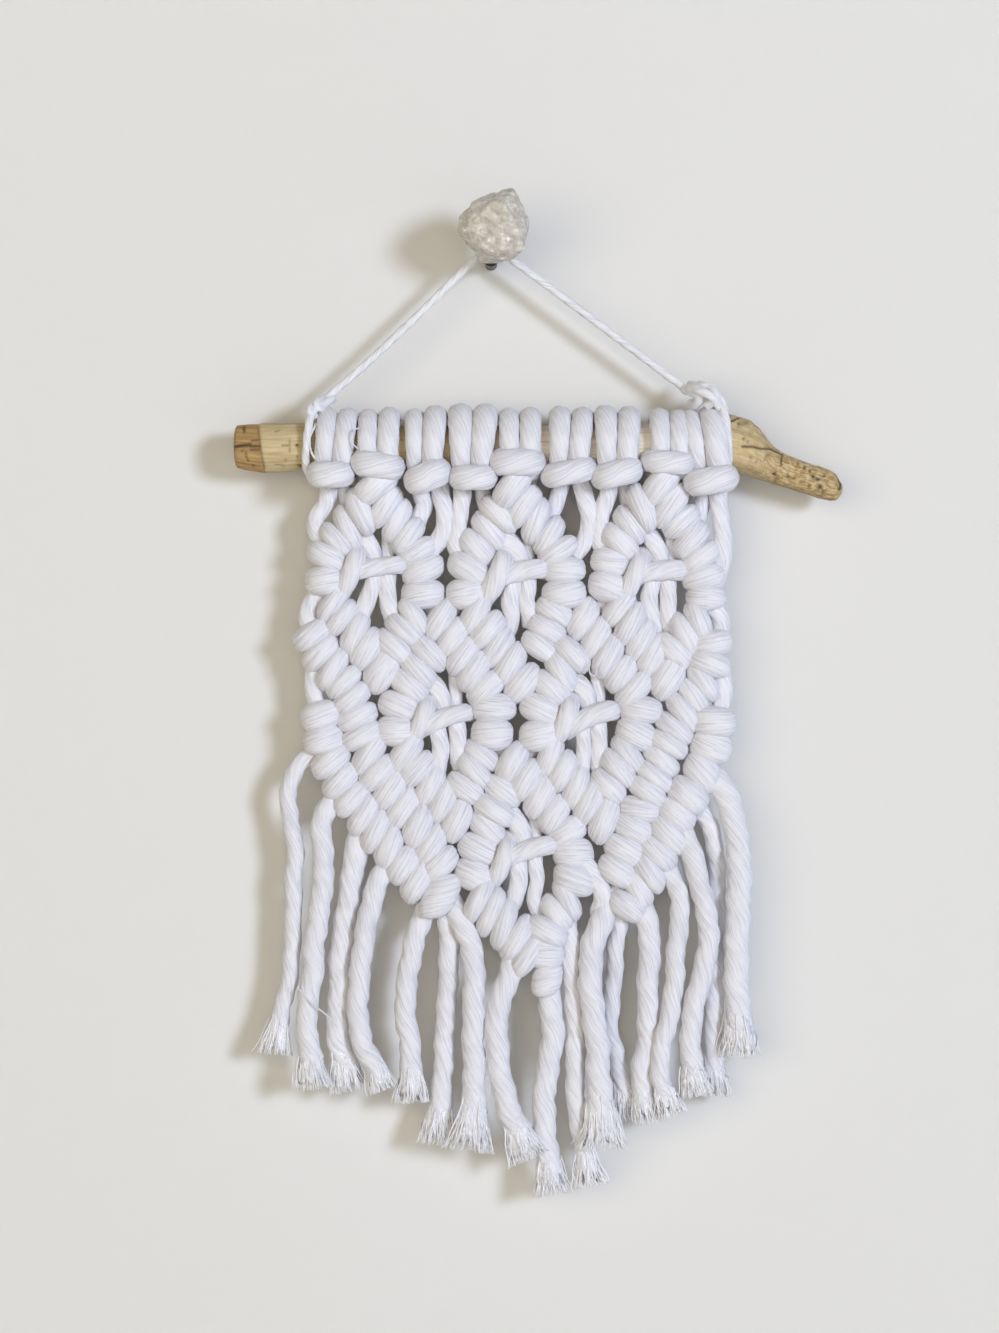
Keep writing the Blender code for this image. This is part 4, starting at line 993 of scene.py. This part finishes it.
# The combed ends are a lighter copy of the same cotton: painted light that lifts the shade among their thin
# yarns.
lightened_frayed_cotton = cotton("lightened_frayed_cotton", (0.94, 0.94, 0.965), (0.88, 0.88, 0.92), 0.0012, 0.0002)
for side, strands in FRINGE.items():
    cores, ends = zip(*[frayed_strand(*strand) for strand in strands], strict=True)
    add_piece(f"fringe_{side}_strands", cores, white_cotton, "cotton_cord", "fringe_" + side)
    add_piece(f"fringe_{side}_frayed_ends", sum(ends, []), lightened_frayed_cotton, "cotton_cord", "fringe_" + side)

# Stray yarns that have come loose from the cord: a thread across two fringe strands, and two small loops,
# one in the cloth and one by the branch.
STRAY_RADIUS = 0.00032
STRAY_YARNS = (  # how far before the cloth's middle, in millimetres, and the points
    (6.5, ((298, 985), (308, 998), (320, 1008), (330, 1016), (338, 1026))),
    (8.5, ((590, 662), (588.5, 669), (591, 675.5), (595.5, 674), (596, 668))),
    (15.0, ((360, 430), (355, 433), (352.5, 440), (355, 447), (360, 451))),
)
stray_yarns = [
    strand_skin(smooth_line(charted(points, CLOTH_Y - before * MM), step=0.0006), STRAY_RADIUS, 5, twist=0.0)
    for before, points in STRAY_YARNS
]
add_piece("stray_yarns", stray_yarns, white_cotton, "cotton_cord")

# The studio: a pale wall close behind the hanging and a floor well below it, a cool window's light from the
# right, a broad warm one from the lower left, a weak one from behind, and a dim pale room all round. The
# wall lets light and sight through from behind.
WALL_GAP = 0.0006
FLOOR_Z = -0.75
LIT = (0.0, 0.0, -0.17)  # where the lights point


def stage_plane(name, corners, paint):
    """A flat four-cornered surface of one pale paint, clear when seen from its back."""
    mesh = bpy.data.meshes.new(name)
    mesh.from_pydata(corners, [], [(0, 1, 2, 3)])
    plane = bpy.data.objects.new(name, mesh)
    scene.collection.objects.link(plane)
    material, shader = new_material(name + "_paint", Roughness=0.9, Base_Color=paint, Specular_IOR_Level=0.1)
    back = new_node(material, "ShaderNodeNewGeometry").outputs["Backfacing"]
    clear = new_node(material, "ShaderNodeBsdfTransparent").outputs["BSDF"]
    sides = enumerate((back, shader.outputs["BSDF"], clear))
    surface = new_node(material, "ShaderNodeMixShader", sides).outputs["Shader"]
    fill(material.node_tree.nodes["Material Output"], Surface=surface)
    mesh.materials.append(material)
    return plane


wall_corners = [(-2, WALL_GAP, -2), (2, WALL_GAP, -2), (2, WALL_GAP, 2), (-2, WALL_GAP, 2)]
wall = stage_plane("wall", wall_corners, (0.70, 0.692, 0.675, 1.0))
wall.visible_shadow = False
floor_corners = [(-3, -4, FLOOR_Z), (3, -4, FLOOR_Z), (3, 3, FLOOR_Z), (-3, 3, FLOOR_Z)]
stage_plane("floor", floor_corners, (0.78, 0.77, 0.75, 1.0))

world = bpy.data.worlds.new("pale_room")
scene.world = world
world.use_nodes = True
world.cycles.sampling_method = "NONE"
nodes = world.node_tree.nodes
room = fill(nodes["Background"], Color=(0.06, 0.055, 0.047, 1.0)).outputs["Background"]
sight = new_node(world, "ShaderNodeBackground", Color=(0.79, 0.785, 0.77, 1.0)).outputs["Background"]
seen = new_node(world, "ShaderNodeLightPath").outputs["Is Camera Ray"]
surface = new_node(world, "ShaderNodeMixShader", enumerate((seen, room, sight))).outputs["Shader"]
fill(nodes["World Output"], Surface=surface)


def area_light(name, place, size, power, colour):
    """A round soft light at a place, turned towards LIT."""
    light = bpy.data.lights.new(name, "AREA")
    light.shape = "DISK"
    light.size = size
    light.energy = power
    light.color = colour
    lamp = bpy.data.objects.new(name, light)
    lamp.location = place
    towards = np.array(LIT) - place
    down = math.acos(-towards[2] / np.linalg.norm(towards))
    lamp.rotation_euler = (down, 0, math.atan2(-towards[0], towards[1]))
    scene.collection.objects.link(lamp)


area_light("window", (2.3, -3.6, 0.5), size=1.0, power=123.0, colour=(0.74, 0.82, 1.0))
area_light("lamp", (-1.0, -3.0, -0.6), size=4.0, power=105.0, colour=(1.0, 0.905, 0.69))
area_light("from_behind", (-0.6, 1.6, 0.4), size=1.6, power=1.8, colour=(1.0, 0.98, 0.95))
scene.view_settings.view_transform = "Standard"
